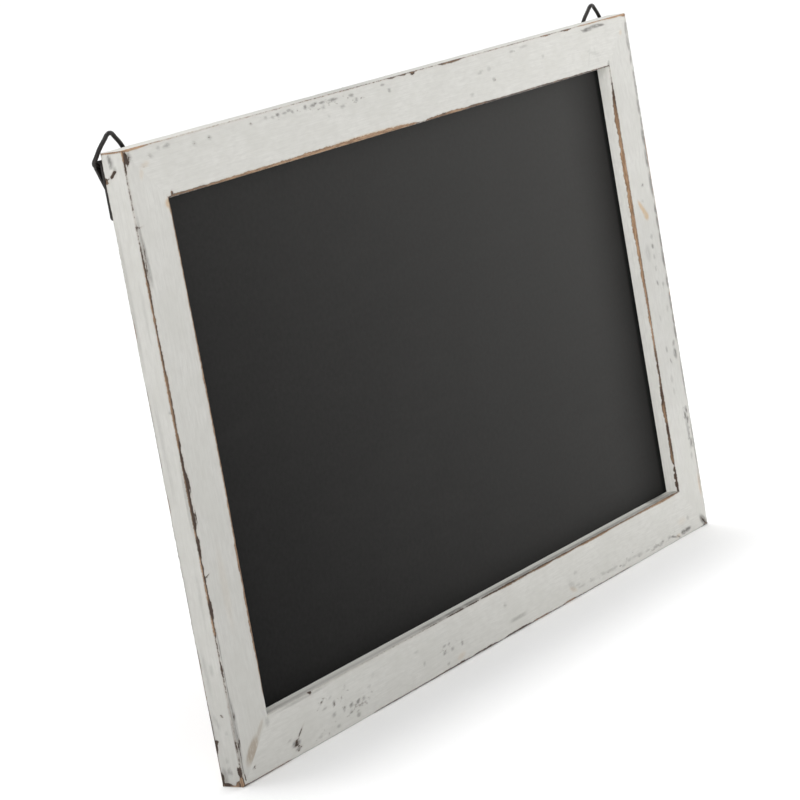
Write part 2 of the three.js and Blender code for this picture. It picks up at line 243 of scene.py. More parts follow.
# How far the paint is worn off each edge of the front: (place along the bar in the model's frame, width on the front
# face, width round the edge, tone). Tone runs from 0, the old dark finish, to 1, bare wood.
WORN_EDGES = {
    ("top_rail", "outer"): [
        (-305, 0.9, 0.9, 1), (-300, 0.9, 0.8, 1), (-286, 0.8, 0.6, 1), (-280, 0.15, 0.1, 0.95), (-130, 0, 0.1, 0.65),
        (-126, 0.05, 0.24, 0.65), (-60, 0.06, 0.32, 0.65), (-20, 0.05, 0.24, 0.55), (-15, 0.8, 0.3, 0.35),
        (-8, 0.05, 0.24, 0.55), (2, 0.7, 0.3, 0.35), (6, 0.02, 0.24, 0.55), (12, 0.8, 0.4, 0.4),
        (17, 0.05, 0.24, 0.55), (44, 0.05, 0.24, 0.55), (50, 0.9, 0.6, 0.45), (66, 0.9, 0.6, 0.5),
        (76, 0.05, 0.32, 0.65), (90, 0.02, 0.24, 0.65), (180, 0.02, 0.24, 0.65), (188, 0.7, 0.5, 0.55),
        (197, 0.05, 0.24, 0.55), (208, 0.02, 0.24, 0.55), (216, 0.8, 0.5, 0.55), (226, 0.02, 0.24, 0.65),
        (248, 0.3, 0.4, 1), (275, 0.35, 0.4, 1), (282, 0.6, 0.6, 1), (296, 0.7, 0.8, 1), (301, 1.5, 1.3, 1),
        (305, 1.4, 1.3, 1),
    ],
    ("top_rail", "inner"): [
        (-269, 0.6, 0.3, 0.4), (-262, 1.2, 0.4, 0.5), (-235, 1.1, 0.4, 0.5), (-205, 1, 0.4, 0.75),
        (-170, 1.4, 0.4, 0.8), (-120, 1.8, 0.4, 0.8), (-60, 2, 0.4, 0.85), (-10, 1.8, 0.4, 0.85), (3, 1.2, 0.4, 0.8),
        (9, 0.2, 0.1, 0.6), (17, 0.2, 0.1, 0.6), (21, 0.9, 0.5, 0.6), (36, 1.1, 0.5, 0.5), (41, 1.7, 0.5, 0.4),
        (46, 1.3, 0.5, 0.75), (62, 1.4, 0.4, 0.75), (67, 1.2, 0.4, 0.6), (72, 1.1, 0.5, 0.45), (78, 1.1, 0.5, 0.45),
        (84, 1.1, 0.4, 0.5), (98, 0.8, 0.3, 0.4), (125, 0.6, 0.2, 0.4), (180, 0.6, 0.2, 0.5), (240, 0.55, 0.2, 0.4),
        (252, 0.45, 0.2, 0.55), (266, 0.45, 0.2, 0.55), (269, 0.6, 0.3, 0.4),
    ],
    ("bottom_rail", "inner"): [
        (-269, -0.3, -0.3, 0.13), (-226, -0.3, -0.3, 0.13), (-223.5, 0.8, 1.5, 0.03), (-221, -0.2, -0.2, 0.13),
        (-160, -0.1, 0, 0.13), (-90, 0, 0.05, 0.13), (-84, -0.05, 0.3, 0.33), (-77, -0.05, 0.38, 0.33),
        (-70, -0.25, 0.23, 0.33), (-62, -0.25, 0.15, 0.33), (-56, -0.05, 0.53, 0.33), (-48, 0.05, 0.68, 0.38),
        (-41, 0.05, 0.82, 0.33), (-37, -0.25, 0.26, 0.33), (-28, 0.05, 0.68, 0.33), (-23, 0.05, 0.6, 0.33),
        (-19, -0.25, 0.26, 0.33), (-14, -0.05, 0.53, 0.38), (0, 0.15, 1.14, 0.43), (10, 0.45, 1.32, 0.53),
        (20, 0.45, 1.44, 0.48), (38, 0.45, 1.44, 0.6), (46, 0.05, 1.08, 0.55), (52, 0.45, 1.32, 0.6),
        (62, 0.55, 1.09, 0.55), (76, 0.45, 1.04, 0.5), (82, -0.05, 0.7, 0.5), (90, 0.45, 1.04, 0.6),
        (106, 0.35, 0.94, 0.6), (114, -0.05, 0.74, 0.6), (122, 0.45, 1.04, 0.65), (140, 0.65, 1.14, 0.7),
        (153, 0.45, 1.04, 0.65), (165, 0.05, 0.79, 0.7), (200, 0.15, 0.9, 0.7), (226, 0.45, 1.04, 0.8),
        (240, 0.75, 1.29, 0.8), (256, 0.7, 1.29, 0.7), (262, 0.25, 1.04, 0.6), (269, 0.05, 0.74, 0.6),
    ],
    ("bottom_rail", "outer"): [
        (-305, 1, 0.8, 0.3), (-298, 0.39, 0.5, 0.55), (-290, 0.28, 0.4, 0.65), (-255, 0.33, 0.4, 0.75),
        (-249, -1.3, -1.3, 0.3), (-165, -1.3, -1.3, 0.3), (-158, 0.3, 0.2, 0.2), (-90, 0.35, 0.2, 0.2),
        (-82, 0.6, 0.4, 0.4), (-58, 0.6, 0.4, 0.3), (-52, 1, 0.5, 0.35), (-46, 0.5, 0.3, 0.3), (-38, 0.2, 0.2, 0.2),
        (-33, 0.9, 0.5, 0.3), (-16, 1.1, 0.5, 0.35), (-9, 0.6, 0.4, 0.2), (-5, 0.1, 0.1, 0.2), (4, 0.3, 0.2, 0.2),
        (9, 1, 0.5, 0.3), (24, 1.1, 0.5, 0.25), (37, 0.9, 0.4, 0.3), (41, 0.3, 0.2, 0.4), (46, 0.9, 0.4, 0.7),
        (60, 0.9, 0.4, 0.7), (66, 0.3, 0.2, 0.5), (84, 0.2, 0.2, 0.5), (90, 0.9, 0.4, 0.8), (99, 0.9, 0.4, 0.8),
        (103, 0.3, 0.2, 0.3), (180, 0.25, 0.2, 0.2), (195, -1.3, -1.3, 0.2), (290, -1.3, -1.3, 0.2),
        (299, 0.6, 0.5, 0.3), (305, 0.9, 0.8, 0.4),
    ],
    ("left_stile", "outer"): [
        (-15, 1, 3, 0.9), (-11, 0.8, 2.6, 0.8), (-8, 0.4, 1.8, 0.1), (-4, 0.5, 1.7, 0), (-1, 0.1, 0.2, 0.2),
        (8, 0, 0, 0.2), (11, 0.3, 0.3, 0), (14, 0.3, 0.3, 0), (17, 0, 0, 0.2), (24, 0.1, 0, 0.3),
        (40, -0.1, -0.1, 0.5), (47, 0, 0, 0.3), (52, 0.2, 0.1, 0.1), (60, 0.4, 0.2, 0), (64, 0.9, 0.4, 0),
        (67, 0.1, 0.1, 0.3), (82, 0.3, 0.2, 0.4), (86, 0.9, 0.4, 0.75), (94, 1, 0.4, 0.7), (97, 1.6, 0.3, 0.35),
        (101, 2.1, 0.3, 0.3), (105, 1.8, 0.3, 0.35), (109, 0.9, 0.4, 0.7), (118, 0.9, 0.4, 0.75),
        (121, 1.5, 0.3, 0.4), (124, 0.9, 0.4, 0.7), (133, 1.1, 0.4, 0.7), (137, 1.6, 0.3, 0.4), (142, 2.6, 0.3, 0.3),
        (146, 2, 0.3, 0.35), (149, 1, 0.3, 0.7), (152, 1.1, 0.3, 0.6), (155, 1.9, 0.2, 0.35), (160, 2.6, 0.2, 0.28),
        (164, 2.3, 0.2, 0.32), (168, 1.7, 0.3, 0.42), (174, 1.7, 0.3, 0.45), (179, 2.2, 0.3, 0.35),
        (185, 2.2, 0.3, 0.32), (190, 1.6, 0.3, 0.42), (200, 1.7, 0.2, 0.35), (204, 1.4, 0.2, 0.5),
        (210, 1.6, 0.3, 0.75), (230, 1.7, 0.3, 0.78), (240, 1.9, 0.3, 0.75), (255, 1.7, 0.3, 0.75),
        (262, 1.3, 0.2, 0.7), (275, 0.9, 0.2, 0.7), (292, 1, 0.2, 0.75), (302, 1.3, 0.2, 0.7), (316, 1.1, 0.2, 0.6),
        (322, 0.6, 0.1, 0.4), (330, 0.4, 0.1, 0.3), (337, 0.05, 0.05, 0.3), (343, 0.3, 0.15, 0.1), (347, 0, 0, 0.3),
        (354, 0.1, 0.1, 0.2), (362, 0.35, 0.2, 0.2), (371, 0.3, 0.2, 0.2), (375, 0.15, 0.1, 0.3), (380, 1, 0.3, 0.5),
        (386, 1.2, 0.2, 0.6), (391, 1.4, 0.5, 0.8),
    ],
    ("left_stile", "inner"): [
        (19, -0.8, -0.8, 0.5), (28, -0.8, -0.8, 0.5), (34, 0.5, 0.2, 0.9), (60, 1.05, 0.3, 1), (75, 1.55, 0.5, 1),
        (100, 1.55, 0.5, 1), (110, 1.3, 0.3, 1), (128, 1.5, 0.5, 1), (140, 1, 0.3, 1), (200, 1.05, 0.3, 1),
        (240, 1.15, 0.4, 1), (256, 1.15, 0.4, 1), (265, 0.9, 0.2, 1), (300, 0.85, 0.2, 1), (345, 1.05, 0.3, 1),
        (355, 1.25, 0.5, 0.9),
    ],
    ("right_stile", "outer"): [
        (-15, 0.85, 0.4, 0.6), (-8, 0.85, 0.3, 0.4), (0, 0.65, 0.2, 0.4), (12, 1, 0.5, 0.7), (35, 1, 0.5, 0.7),
        (50, 0.8, 0.3, 0.3), (80, 0.75, 0.2, 0.2), (110, 0.75, 0.2, 0.2), (135, 0.85, 0.4, 0.5),
        (150, 1.2, 0.5, 0.6), (168, 1.2, 0.4, 0.6), (172, 1.55, 0.6, 0.8), (178, 0.8, 0.3, 0.5),
        (190, 0.9, 0.3, 0.5), (197, 1.35, 0.6, 0.6), (208, 1.05, 0.4, 0.5), (215, 0.85, 0.3, 0.3),
        (233, 1.15, 0.4, 0.6), (238, 1.55, 0.6, 0.6), (245, 1.2, 0.4, 0.7), (270, 1.4, 0.6, 0.8),
        (290, 1.4, 0.6, 0.8), (310, 0.9, 0.4, 0.5), (330, 0.8, 0.3, 0.3), (345, 0.9, 0.3, 0.3), (352, 0.7, 0.2, 0.3),
        (366, 0.95, 0.4, 0.3), (380, 0.85, 0.3, 0.5), (391, 1.45, 0.9, 0.9),
    ],
    ("right_stile", "inner"): [
        (19, 0.14, 0.24, 0.4), (22, 0.1, 1.26, 0.1), (25, 0.3, 1.5, 0.1), (28, 0.35, 1.7, 0.1),
        (29.5, -0.1, 0.5, 0.1), (31, 0.3, 1.6, 0.1), (34.5, 0.35, 1.7, 0.1), (36.2, -0.1, 0.4, 0.1),
        (37.6, 0.2, 1.3, 0.1), (39.5, 0.2, 1, 0.1), (41.5, -0.2, 0.2, 0.1), (45, 0.1, 1.67, 0.45),
        (53, 0.42, 1.98, 0.45), (60, 0.33, 1.82, 0.45), (66, 0.1, 1.45, 0.35), (72, 0.15, 1.52, 0.25),
        (78, 0.1, 2, 0.53), (88, 0.3, 2.15, 0.48), (95, 0.3, 2.08, 0.38), (102, 0.12, 1.77, 0.23),
        (108, 0.1, 0.81, 0.4), (118, 0.1, 0.86, 0.4), (130, 0.24, 0.98, 0.45), (135, 0.1, 0.98, 0.6),
        (150, 0.11, 1.09, 0.7), (168, 0.38, 1.2, 0.65), (176, 0.65, 1.31, 0.6), (190, 0.39, 1.69, 0.65),
        (205, 0.48, 1.79, 0.7), (230, 0.65, 2.3, 0.7), (250, 0.82, 2.3, 0.7), (262, 0.91, 2.3, 0.7),
        (280, 0.82, 2.3, 0.75), (300, 0.73, 2.15, 0.65), (318, 0.91, 2.08, 0.5), (325, 0.65, 2, 0.35),
        (332, 0.72, 1.05, 0.3), (336, 0.45, 0.6, 0.2), (341, 0.54, 0.38, 0.1), (344, 0.09, 0.08, 0.2),
        (355, 0.09, 0.08, 0.3),
    ],
}

# Marks on the front face: (x, z, half length, half width, turn from +X in degrees, and a chip's tone or the strength
# of any other mark).
CHIPS = [
    (-300.9, 382.6, 1.5, 0.9, 60, 0), (-299.6, 385.2, 1, 0.5, 20, 0.2), (-302.4, 6, 3, 0.3, 91, 0.2),
    (-302, -9, 2.6, 0.5, 93, 0.3), (-301.8, 328, 6, 0.35, 91, 0.2), (-302.5, 317, 6, 0.35, 91, 0.2),
    (-291.2, -6.4, 1.1, 0.8, 60, 0.1), (-264.9, 357.6, 1.6, 0.5, 100, 0.3), (-223.6, 20.4, 1.2, 0.9, 90, 0),
    (111.6, 369.5, 0.9, 0.6, 0, 0.1), (-240.2, -0.6, 3.6, 0.45, 42, 0.2), (-246, -5.8, 2.3, 1.25, 60, 0.1),
    (-244.4, -8, 1.5, 1, 120, 0.2), (-247.8, -7.8, 1, 0.6, 0, 0.3), (-242.2, -9.4, 1.3, 0.7, 150, 0.1),
    (-245.2, -11.4, 1, 0.6, 0, 0.2), (-213.7, 10.4, 1, 0.7, 0, 0.3), (-200.6, 5, 0.8, 1.3, 0, 0.3),
    (-279.5, 383.8, 0.8, 0.6, 0, 0.3), (-235.4, 383.5, 0.6, 0.45, 30, 0.4), (-220, 384.7, 0.6, 0.6, 0, 0.3),
    (-176.2, 385.7, 0.8, 0.6, 0, 0.3), (298.6, -10.7, 4.4, 0.8, -46, 0), (301.2, -13.8, 1.4, 0.8, -45, 0.6),
    (-302.3, 385.6, 4.9, 1.4, 92, 0), (-300.4, 384.8, 2.4, 0.5, 60, 0.1), (-302.4, 342.8, 2.4, 0.4, 5, 0.05),
    (-303.9, 343.3, 1, 0.6, 0, 0.05), (-303, 121.5, 1.3, 0.5, 0, 0.1), (-302.7, 11.6, 2.6, 0.7, 90, 0),
    (11, 389.4, 2.6, 0.9, 0, 0.45), (-266, 357.6, 0.8, 2, 0, 0.5), (-301.6, 122, 2.2, 0.55, 20, 0.1),
    (-301.2, 13.6, 2, 0.5, 90, 0), (-302, 30.6, 1.3, 0.5, 80, 0.1), (-301.3, 160.5, 4.5, 0.5, 90, 0.1),
    (-301.6, 181, 5, 0.5, 90, 0.1),
]
TAN = [  # where brown shows through the paint
    (293, 377.6, 2, 1.6, 40, 0.4), (-172, 355.3, 60, 1.5, 0, 0.9), (-52, 356, 44, 2.1, 0, 1),
    (46, 355.3, 20, 1.4, 0, 0.8), (100, -7.5, 4.5, 1.6, -25, 0.35), (257.5, -11.4, 3, 1.2, 0, 0.4),
    (301.2, 18, 8, 1.4, 90, 0.5), (-269.3, 85, 24, 1.3, 90, 0.7), (-269.3, 130, 10, 1.3, 90, 0.5),
    (-269.3, 200, 60, 1.1, 90, 0.5), (266, -2, 6, 2.4, 0, 0.15), (282.6, 243, 6.8, 1.9, 125, 1),
    (287.4, 236, 3.4, 2.8, 125, 1), (-271.2, 352.2, 2.6, 2.4, 90, 1), (-286, 379, 4, 1.6, 15, 0.3),
    (-291, 374, 3.4, 1.6, 70, 0.28), (-287, 110, 24, 3.2, 90, 0.12), (-52, -9.6, 5, 2, 10, 0.3),
    (-270.2, 350, 4, 1.2, 90, 0.9), (285, 239.8, 4.5, 2.2, 125, 1),
]
STILE_TAN = [(-290.6, 4.6, 9.6, 4.1, 45, 0.66), (-280, 14.6, 7.5, 1.7, 47, 0.32)]  # beside the lower left mitre
GRIME = [  # where the paint is dirty
    (250, 368, 10, 1, -18, 0.17), (24, -5.4, 10, 1.2, 0, 0.4), (-302.6, 20, 16, 1, 90, 0.6),
    (-304.2, 20, 26, 0.9, 90, 0.5), (-302.6, 330, 20, 1.4, 90, 0.45), (-262, 387, 2.4, 1.2, 0, 0.5),
    (-235.5, 383, 1.8, 1.3, 0, 0.3), (-220, 384.4, 2, 1.3, 0, 0.3), (-279, 383, 1.6, 1.2, 0, 0.25),
    (-271, 17, 3, 2, 90, 0.3), (-233, 19.4, 26, 0.9, 0, 0.35), (-300.4, 386, 2.8, 2.4, 60, 0.7),
    (-246.4, -6.2, 4, 2, 0, 1), (-245.4, -10, 2.4, 1, 0, 0.95), (-240.6, -0.6, 3.2, 0.7, 42, 0.85),
    (-252.6, -2, 1.4, 0.7, 0, 0.4), (-292, -6.2, 1, 0.9, 0, 0.7), (-213.6, 10.6, 1.54, 0.88, 20, 0.75),
    (-204, 10.6, 1.1, 0.66, 0, 0.44), (-201.2, 5.6, 1.1, 1.65, 0, 0.94), (-187, 12.6, 0.99, 0.77, 0, 0.38),
    (-211.5, 5.6, 1.98, 0.88, 0, 0.44), (-203, -1.4, 1.98, 0.88, 0, 0.62), (-191, -1.4, 1.76, 0.77, 0, 0.69),
    (-183.4, -1.4, 1.76, 1.1, 0, 0.81), (-175.4, -1.6, 1.98, 1.1, 20, 0.94), (-169, -1.4, 1.76, 0.77, 0, 0.69),
    (-184.6, -5.6, 1.76, 0.88, 0, 0.62), (-177.4, -10, 1.76, 1.32, 0, 0.75), (-200.4, -10, 1.54, 1.1, 0, 0.44),
    (-221, -10.6, 2, 0.8, 0, 0.3), (-161, 4, 2, 1, 0, 0.25), (-155, 10, 2.4, 0.8, 0, 0.2),
    (-96, -1, 1.2, 1.3, 0, 0.4), (-103, 9, 3, 0.8, 0, 0.25), (-70, 3, 1.8, 0.9, 0, 0.65),
    (-64.4, 3.2, 1.4, 0.9, 0, 0.65), (-71, -1.6, 1.8, 1.1, 0, 0.65), (-61, -1.5, 2, 0.9, 0, 0.55),
    (-48.8, -1.3, 1.1, 1.6, 0, 0.7), (-68.5, -10, 1.6, 1, 0, 0.4), (20, -5.2, 5.5, 0.7, 0, 0.4),
    (10, 8, 2, 1.4, 0, 0.25), (106, 3.4, 2.4, 1.2, 0, 0.25), (155, -9, 9, 0.7, 0, 0.39), (127, -8, 4, 0.7, 0, 0.33),
    (193, -9, 9, 0.7, 0, 0.33), (222, -10.4, 3, 1, 0, 0.5), (232, -10, 3.2, 1.1, 20, 0.44),
    (244, -9.2, 2.6, 0.7, 0, 0.6), (250, -10.3, 5, 0.6, -18, 0.95), (258, -12.4, 2.6, 0.6, -30, 0.8),
    (266, -11, 3.4, 1.5, -5, 1), (273, -10.6, 4.2, 1.5, 5, 1), (275.5, -2, 1.8, 1.4, 0, 0.35),
    (298.2, -10.2, 5.6, 2.7, -46, 1), (288.8, 120.5, 0.6, 2, 10, 0.9), (285.3, 130.6, 1.2, 2.2, 0, 0.5),
    (287.6, 183, 0.9, 1.9, 10, 0.7), (289.2, 211.6, 1.7, 1.4, 90, 0.75), (285.3, 248, 1.2, 1, 90, 0.3),
    (288.7, 259.7, 1.5, 1, 10, 0.8), (289.6, 219.2, 1.6, 1.8, 0, 0.35), (289.2, 203.5, 1.2, 1.8, 0, 0.35),
    (288.6, 194, 1, 1.8, 0, 0.35), (281, 208, 6, 3.4, 90, 0.2), (285.5, 107, 1.2, 3, 0, 0.3),
    (286, 97, 1.2, 2.6, 0, 0.25), (283, 156, 0.8, 2, 0, 0.25), (299, 52.5, 2.99, 1.49, 70, 0.88),
    (297.5, 59.4, 2.76, 1.15, 80, 0.88), (299, 70.5, 2.76, 1.15, 70, 1), (296.6, 75, 3.22, 1.26, 95, 1),
    (299.5, 78.6, 2.07, 1.15, 100, 1), (296.4, 42.5, 2.76, 0.92, 70, 0.44), (296.8, 125, 3.6, 2, 90, 0.9),
    (296.8, 133, 2.6, 1.4, 60, 0.6), (295.8, 180.5, 1.4, 1.6, 0, 0.45), (296, 161, 2.4, 1, 70, 0.3),
    (302.4, 104, 14, 1, 90, 0.6), (301.8, 141, 6, 1.2, 90, 0.9), (302.2, 150, 6, 1.2, 90, 0.8),
    (302, 165, 7, 1.3, 90, 0.75), (302, 181, 5, 1.3, 90, 0.75), (302, 200, 7, 1.6, 90, 0.9),
    (302.2, 214, 6, 1.2, 90, 0.8), (302, 228, 6, 1.4, 90, 0.8), (302, 238, 4, 1.5, 90, 0.9),
    (301.6, 258, 9, 1.9, 90, 0.75), (301.4, 278, 8, 2, 90, 0.75), (301.4, 295, 7, 1.8, 90, 0.8),
    (302.2, 306, 5, 1.2, 90, 0.6), (301.6, 319, 6, 1.6, 90, 0.7), (302, 333, 7, 1.3, 90, 0.6),
    (302.2, 343, 4, 1.2, 90, 0.6), (301.6, 356, 4, 1.2, 80, 0.6), (301.4, 368, 6, 1.6, 95, 0.65),
    (301.6, 380, 5, 1.5, 80, 0.6), (302.6, 50, 18.4, 1.03, 90, 0.56), (301.8, 24, 10, 1.2, 90, 0.3),
    (-147, 386.8, 1.7, 1, 0, 0.85), (-152.5, 386.3, 1.4, 0.8, 0, 0.5), (-147.6, 391, 1.4, 1.2, 0, 0.4),
    (-139.5, 386.6, 2.4, 0.8, 0, 0.5), (-134.4, 387.5, 2, 0.9, 0, 0.7), (-131, 386.2, 1.2, 0.9, 0, 0.6),
    (-160, 387, 1.4, 1, 0, 0.4), (-116.6, 386.8, 1.6, 1.2, 30, 0.8), (-107, 387, 3.6, 0.9, 10, 0.8),
    (-97.5, 386.8, 3, 0.8, 0, 0.7), (-85.5, 386.8, 5, 0.9, 0, 0.75), (-97, 383.4, 2, 0.9, 20, 0.5),
    (-75.5, 380.6, 2.6, 1, 10, 0.5), (-59, 382.4, 1.8, 1.1, 40, 0.6), (-64, 386.4, 2.6, 0.9, 0, 0.6),
    (-19.6, 382.5, 1.5, 1.2, 0, 0.6), (-26.6, 387.4, 2, 0.8, 0, 0.6), (-92.6, 376.6, 1, 0.8, 0, 0.25),
    (-235.7, 383.8, 1.2, 0.8, 20, 0.4), (-220, 384.8, 1.4, 1, 0, 0.5), (-176.5, 385.7, 1.5, 0.9, 0, 0.45),
    (-279.7, 383.7, 1.2, 0.8, 0, 0.5), (-263.4, 387, 3, 0.9, 15, 0.4), (-271, 387, 1.6, 1.2, 0, 0.3),
    (79, 363.6, 2.6, 0.9, 0, 0.35), (94, 377.4, 3.4, 0.9, 15, 0.35), (109.8, 370, 1.7, 1.3, 0, 0.5),
    (105.6, 378, 2.4, 1.6, 0, 0.25), (138.5, 385.8, 2.8, 0.8, 0, 0.45), (155, 387, 5, 0.8, 0, 0.3),
    (179, 376.4, 1.6, 1, 0, 0.25), (243, 367, 8, 0.7, 65, 0.11), (253, 367, 7, 0.7, -70, 0.11),
    (246, 386.5, 6.2, 1.3, 1, 1), (255.5, 387.9, 4.2, 0.55, 8, 1), (266, 387.2, 4.6, 0.85, -4, 1),
    (258, 387.4, 9, 1.3, 0, 0.8), (240, 386.2, 3.4, 0.5, -20, 0.7), (-302.8, -1, 7, 0.45, 90, 1),
    (-302.3, 8, 6, 0.5, 88, 1), (-301.5, 13.5, 3, 0.8, 90, 1), (-302.3, 20, 7, 0.5, 91, 1),
    (-301.6, 30.5, 2.6, 0.9, 80, 0.95), (-302.6, 34, 8, 0.5, 88, 0.9), (-303.2, 46, 8, 0.45, 90, 0.9),
    (-303.2, 58, 6, 0.5, 90, 0.85), (-302.9, 76, 9, 0.5, 90, 0.7), (-302, 22, 18, 1.6, 90, 0.35),
    (298.5, 49, 3, 0.5, 10, 0.8), (298, 56, 3.4, 0.5, -8, 0.8), (298.6, 64, 3, 0.5, 15, 0.7),
    (297.6, 73, 3.6, 0.5, -12, 0.9), (298, 81, 3, 0.5, 6, 0.7), (297.4, 68, 10, 1.6, 90, 0.4),
    (-300.4, 317, 10, 1.3, 90, 0.5), (-300.8, 325, 9, 0.9, 90, 0.6), (268.4, 357.2, 2.4, 1.2, 60, 0.6),
    (112, -8.4, 5, 0.9, 5, 0.31), (107, -6, 3, 1, 0, 0.28), (160, -8.6, 4, 1.2, 0, 0.35),
    (173, -10.8, 2.4, 0.9, 0, 0.35), (198, -9.6, 4, 1.2, 0, 0.35), (210, -9.5, 3, 0.9, 0, 0.31),
    (182, -9, 3, 0.8, 0, 0.31), (143, -8, 3.6, 0.8, -6, 0.31), (99, -4.5, 4.5, 2.6, -40, 0.21),
]
# How dirty the bottom rail's upper face is behind its front edge: (x, strength).
REVEAL_DIRT = [
    (-269, 0.28), (-228, 0.3), (-200, 0.12), (-92, 0.2), (-82, 0.6), (-66, 0.6), (-60, 0.3), (-54, 0.8), (-40, 0.9),
    (-36, 0.35), (-31, 0.85), (-20, 0.8), (-14, 0.35), (-4, 0.7), (40, 0.75), (80, 0.5), (120, 0.62), (160, 0.62),
    (200, 0.42), (228, 0.5), (240, 0.75), (269, 0.6),
]
SPECKLED = [  # where small dots of the old finish show through
    (-120, 386, 60, 2.6, 0, 0.56), (-98, 384.8, 20, 3.4, 0, 0.76), (-62, 382.5, 16, 3, 0, 0.64),
    (14, 386.7, 8, 2.4, 0, 0.48), (-18.5, 381.7, 3, 2, 0, 0.56), (106, 378.6, 3, 2, 0, 0.56),
    (139.7, 385, 4, 2, 0, 0.56), (-290, 381, 10, 5, 0, 0.48), (-213, 10, 9, 4, 20, 0.82), (-192, 8, 12, 5, 0, 0.72),
    (-176, -3, 20, 5.5, 0, 0.91), (-200, -6, 30, 6, 10, 0.58), (-62, 0.5, 16, 4, 0, 0.64),
    (-102.5, 4, 3, 8, 0, 0.52), (11.6, 7, 3, 2, 0, 0.56), (106, 3.4, 3, 2, 0, 0.48), (165, -8.4, 68, 4.2, 0, 0.6),
    (290, 185, 26, 6, 90, 0.44), (-241, -6, 6, 7, 0, 0.48), (297, 205, 60, 3, 90, 0.32),
    (-302, 325, 22, 2, 90, 0.64), (262, -8, 22, 4, 0, 0.48), (233, -10.4, 27, 2.8, 0, 0.8),
]
# Marks on the left side: (z, back from the front face, half length, half width, turn from +Z in degrees, and a tone
# or a strength as above).
LEFT_SIDE_CHIPS = [
    (31.9, 7.4, 1.3, 0.9, 70, 0.15), (11.8, 16.4, 4.6, 1.3, 0, 0.05), (14.8, 15.2, 1.2, 1.5, 0, 0.25),
    (-10.6, 16.6, 4.8, 1.5, -10, 0.05), (-14.3, 13.2, 2, 4.4, 0, 0.3), (-14.9, 8, 1.1, 8, 0, 0.75),
    (-13.4, 3.8, 2.4, 2.4, 20, 0.5), (-5.2, 1.6, 3.6, 1.5, 8, 0), (66, 17.4, 3, 0.8, 0, 0.5),
    (390.6, 9, 0.9, 12, 0, 0.95), (378, 9.4, 2.3, 1.1, -60, 0), (376, 11.4, 1.8, 1.2, -50, 0.05),
    (372.8, 16.6, 1.9, 1.1, 60, 0.42), (375, 14, 1.4, 0.35, 100, 0.2), (374.9, 16.8, 0.8, 1, 0, 0.1),
]
LEFT_SIDE_GRIME = [
    (-5, 9.2, 2.5, 1.6, 40, 0.45), (2.3, 10, 1.6, 1.2, 0, 0.22), (20.6, 6, 1.4, 0.9, 0, 0.22),
    (380, 8.4, 1.6, 1, 0, 0.4), (227.5, 1.6, 1.2, 0.9, 60, 0.4), (382.1, 11, 1.8, 1.2, 0, 0.6),
    (-4.6, 9.4, 2.2, 1.4, 0, 0.5), (-8, 14, 5, 2.4, 0, 0.5), (170, 2, 20, 1.2, 0, 0.3), (24, 16.8, 9, 1, 0, 0.45),
    (385.4, 10.8, 2.6, 1.5, 15, 0.85), (387.6, 11.6, 1.6, 1.2, 0, 0.7), (382.2, 10.6, 1.4, 1.3, 0, 0.6),
    (60, 13, 14, 1.2, 2, 0.22), (110, 6, 22, 1, -1, 0.16), (205, 12, 30, 1.4, 1, 0.16),
    (300, 15.5, 40, 1.2, 0, 0.22), (290, 6, 18, 0.9, 0, 0.14), (62, 8.6, 4, 1.5, 0, 0.2), (64, 16.8, 3, 0.7, 0, 0.7),
    (120, 17, 30, 0.8, 0, 0.35), (28, 12.4, 5, 1.4, 20, 0.25),
]

PITCH = 1.25  # between a bar's cross-sections
FINE, MEDIUM, COARSE = 0.5, 1.3, 3.0  # between the points of a cross-section
FINE_ZONE = 4.0  # how far from a worn edge the points lie close together
EDGE_POINTS, BACK_POINTS = 6, 4  # round an edge of the front, and round the outer edge of the back


def spaced(start, end, pitch):
    return list(np.linspace(start, end, max(1, round(abs(end - start) / pitch)) + 1)[:-1])


def rounded(centre, radius, start, end, count):
    turns = np.radians(np.linspace(start, end, count + 1)[:-1])
    return [(centre[0] + radius * math.cos(t), centre[1] + radius * math.sin(t)) for t in turns]


def bar_section():
    """A bar's cross-section as a closed loop of (in from the outer edge, back from the front)."""
    r, b = FRONT_RADIUS, BACK_RADIUS
    near, far, back = r + FINE_ZONE, BAR - r - FINE_ZONE, THICKNESS - b
    loop = [(a, 0.0) for a in spaced(r, near, FINE) + spaced(near, far, MEDIUM) + spaced(far, BAR - r, FINE)]
    loop += rounded((BAR - r, r), r, -90, 0, EDGE_POINTS)
    loop += [(BAR, d) for d in spaced(r, near, FINE) + spaced(near, LIP, MEDIUM)]
    loop += [(a, LIP) for a in spaced(BAR, STEP, COARSE)]
    loop += [(STEP, d) for d in spaced(LIP, THICKNESS, COARSE)]
    loop += [(a, THICKNESS) for a in spaced(STEP, b, COARSE)]
    loop += rounded((b, back), b, 90, 180, BACK_POINTS)
    outer = spaced(back, back - FINE_ZONE, 2 * FINE) + spaced(back - FINE_ZONE, near, MEDIUM) + spaced(near, r, FINE)
    loop += [(0.0, d) for d in outer]
    loop += rounded((r, r), r, 180, 270, EDGE_POINTS)
    return np.array(loop)


def bar_mesh(name):
    """A mitred bar: the same cross-section from end to end, each row of it ending short of the corner."""
    bar = BARS[name]
    loop = bar_section()
    count = round(bar["length"] / PITCH)
    reach = bar["length"] / 2 - loop[:, 0] - GLUE_LINE
    share = np.linspace(-1, 1, count + 1)
    points = (
        bar["start"]
        + (share[:, None] * reach)[..., None] * bar["along"]
        + loop[:, 0][None, :, None] * bar["inward"]
        + loop[:, 1][None, :, None] * Y
    )
    sides, caps = tube_faces(count + 1, len(loop))
    return mesh_from(name, points.reshape(-1, 3) * MM, sides + caps)


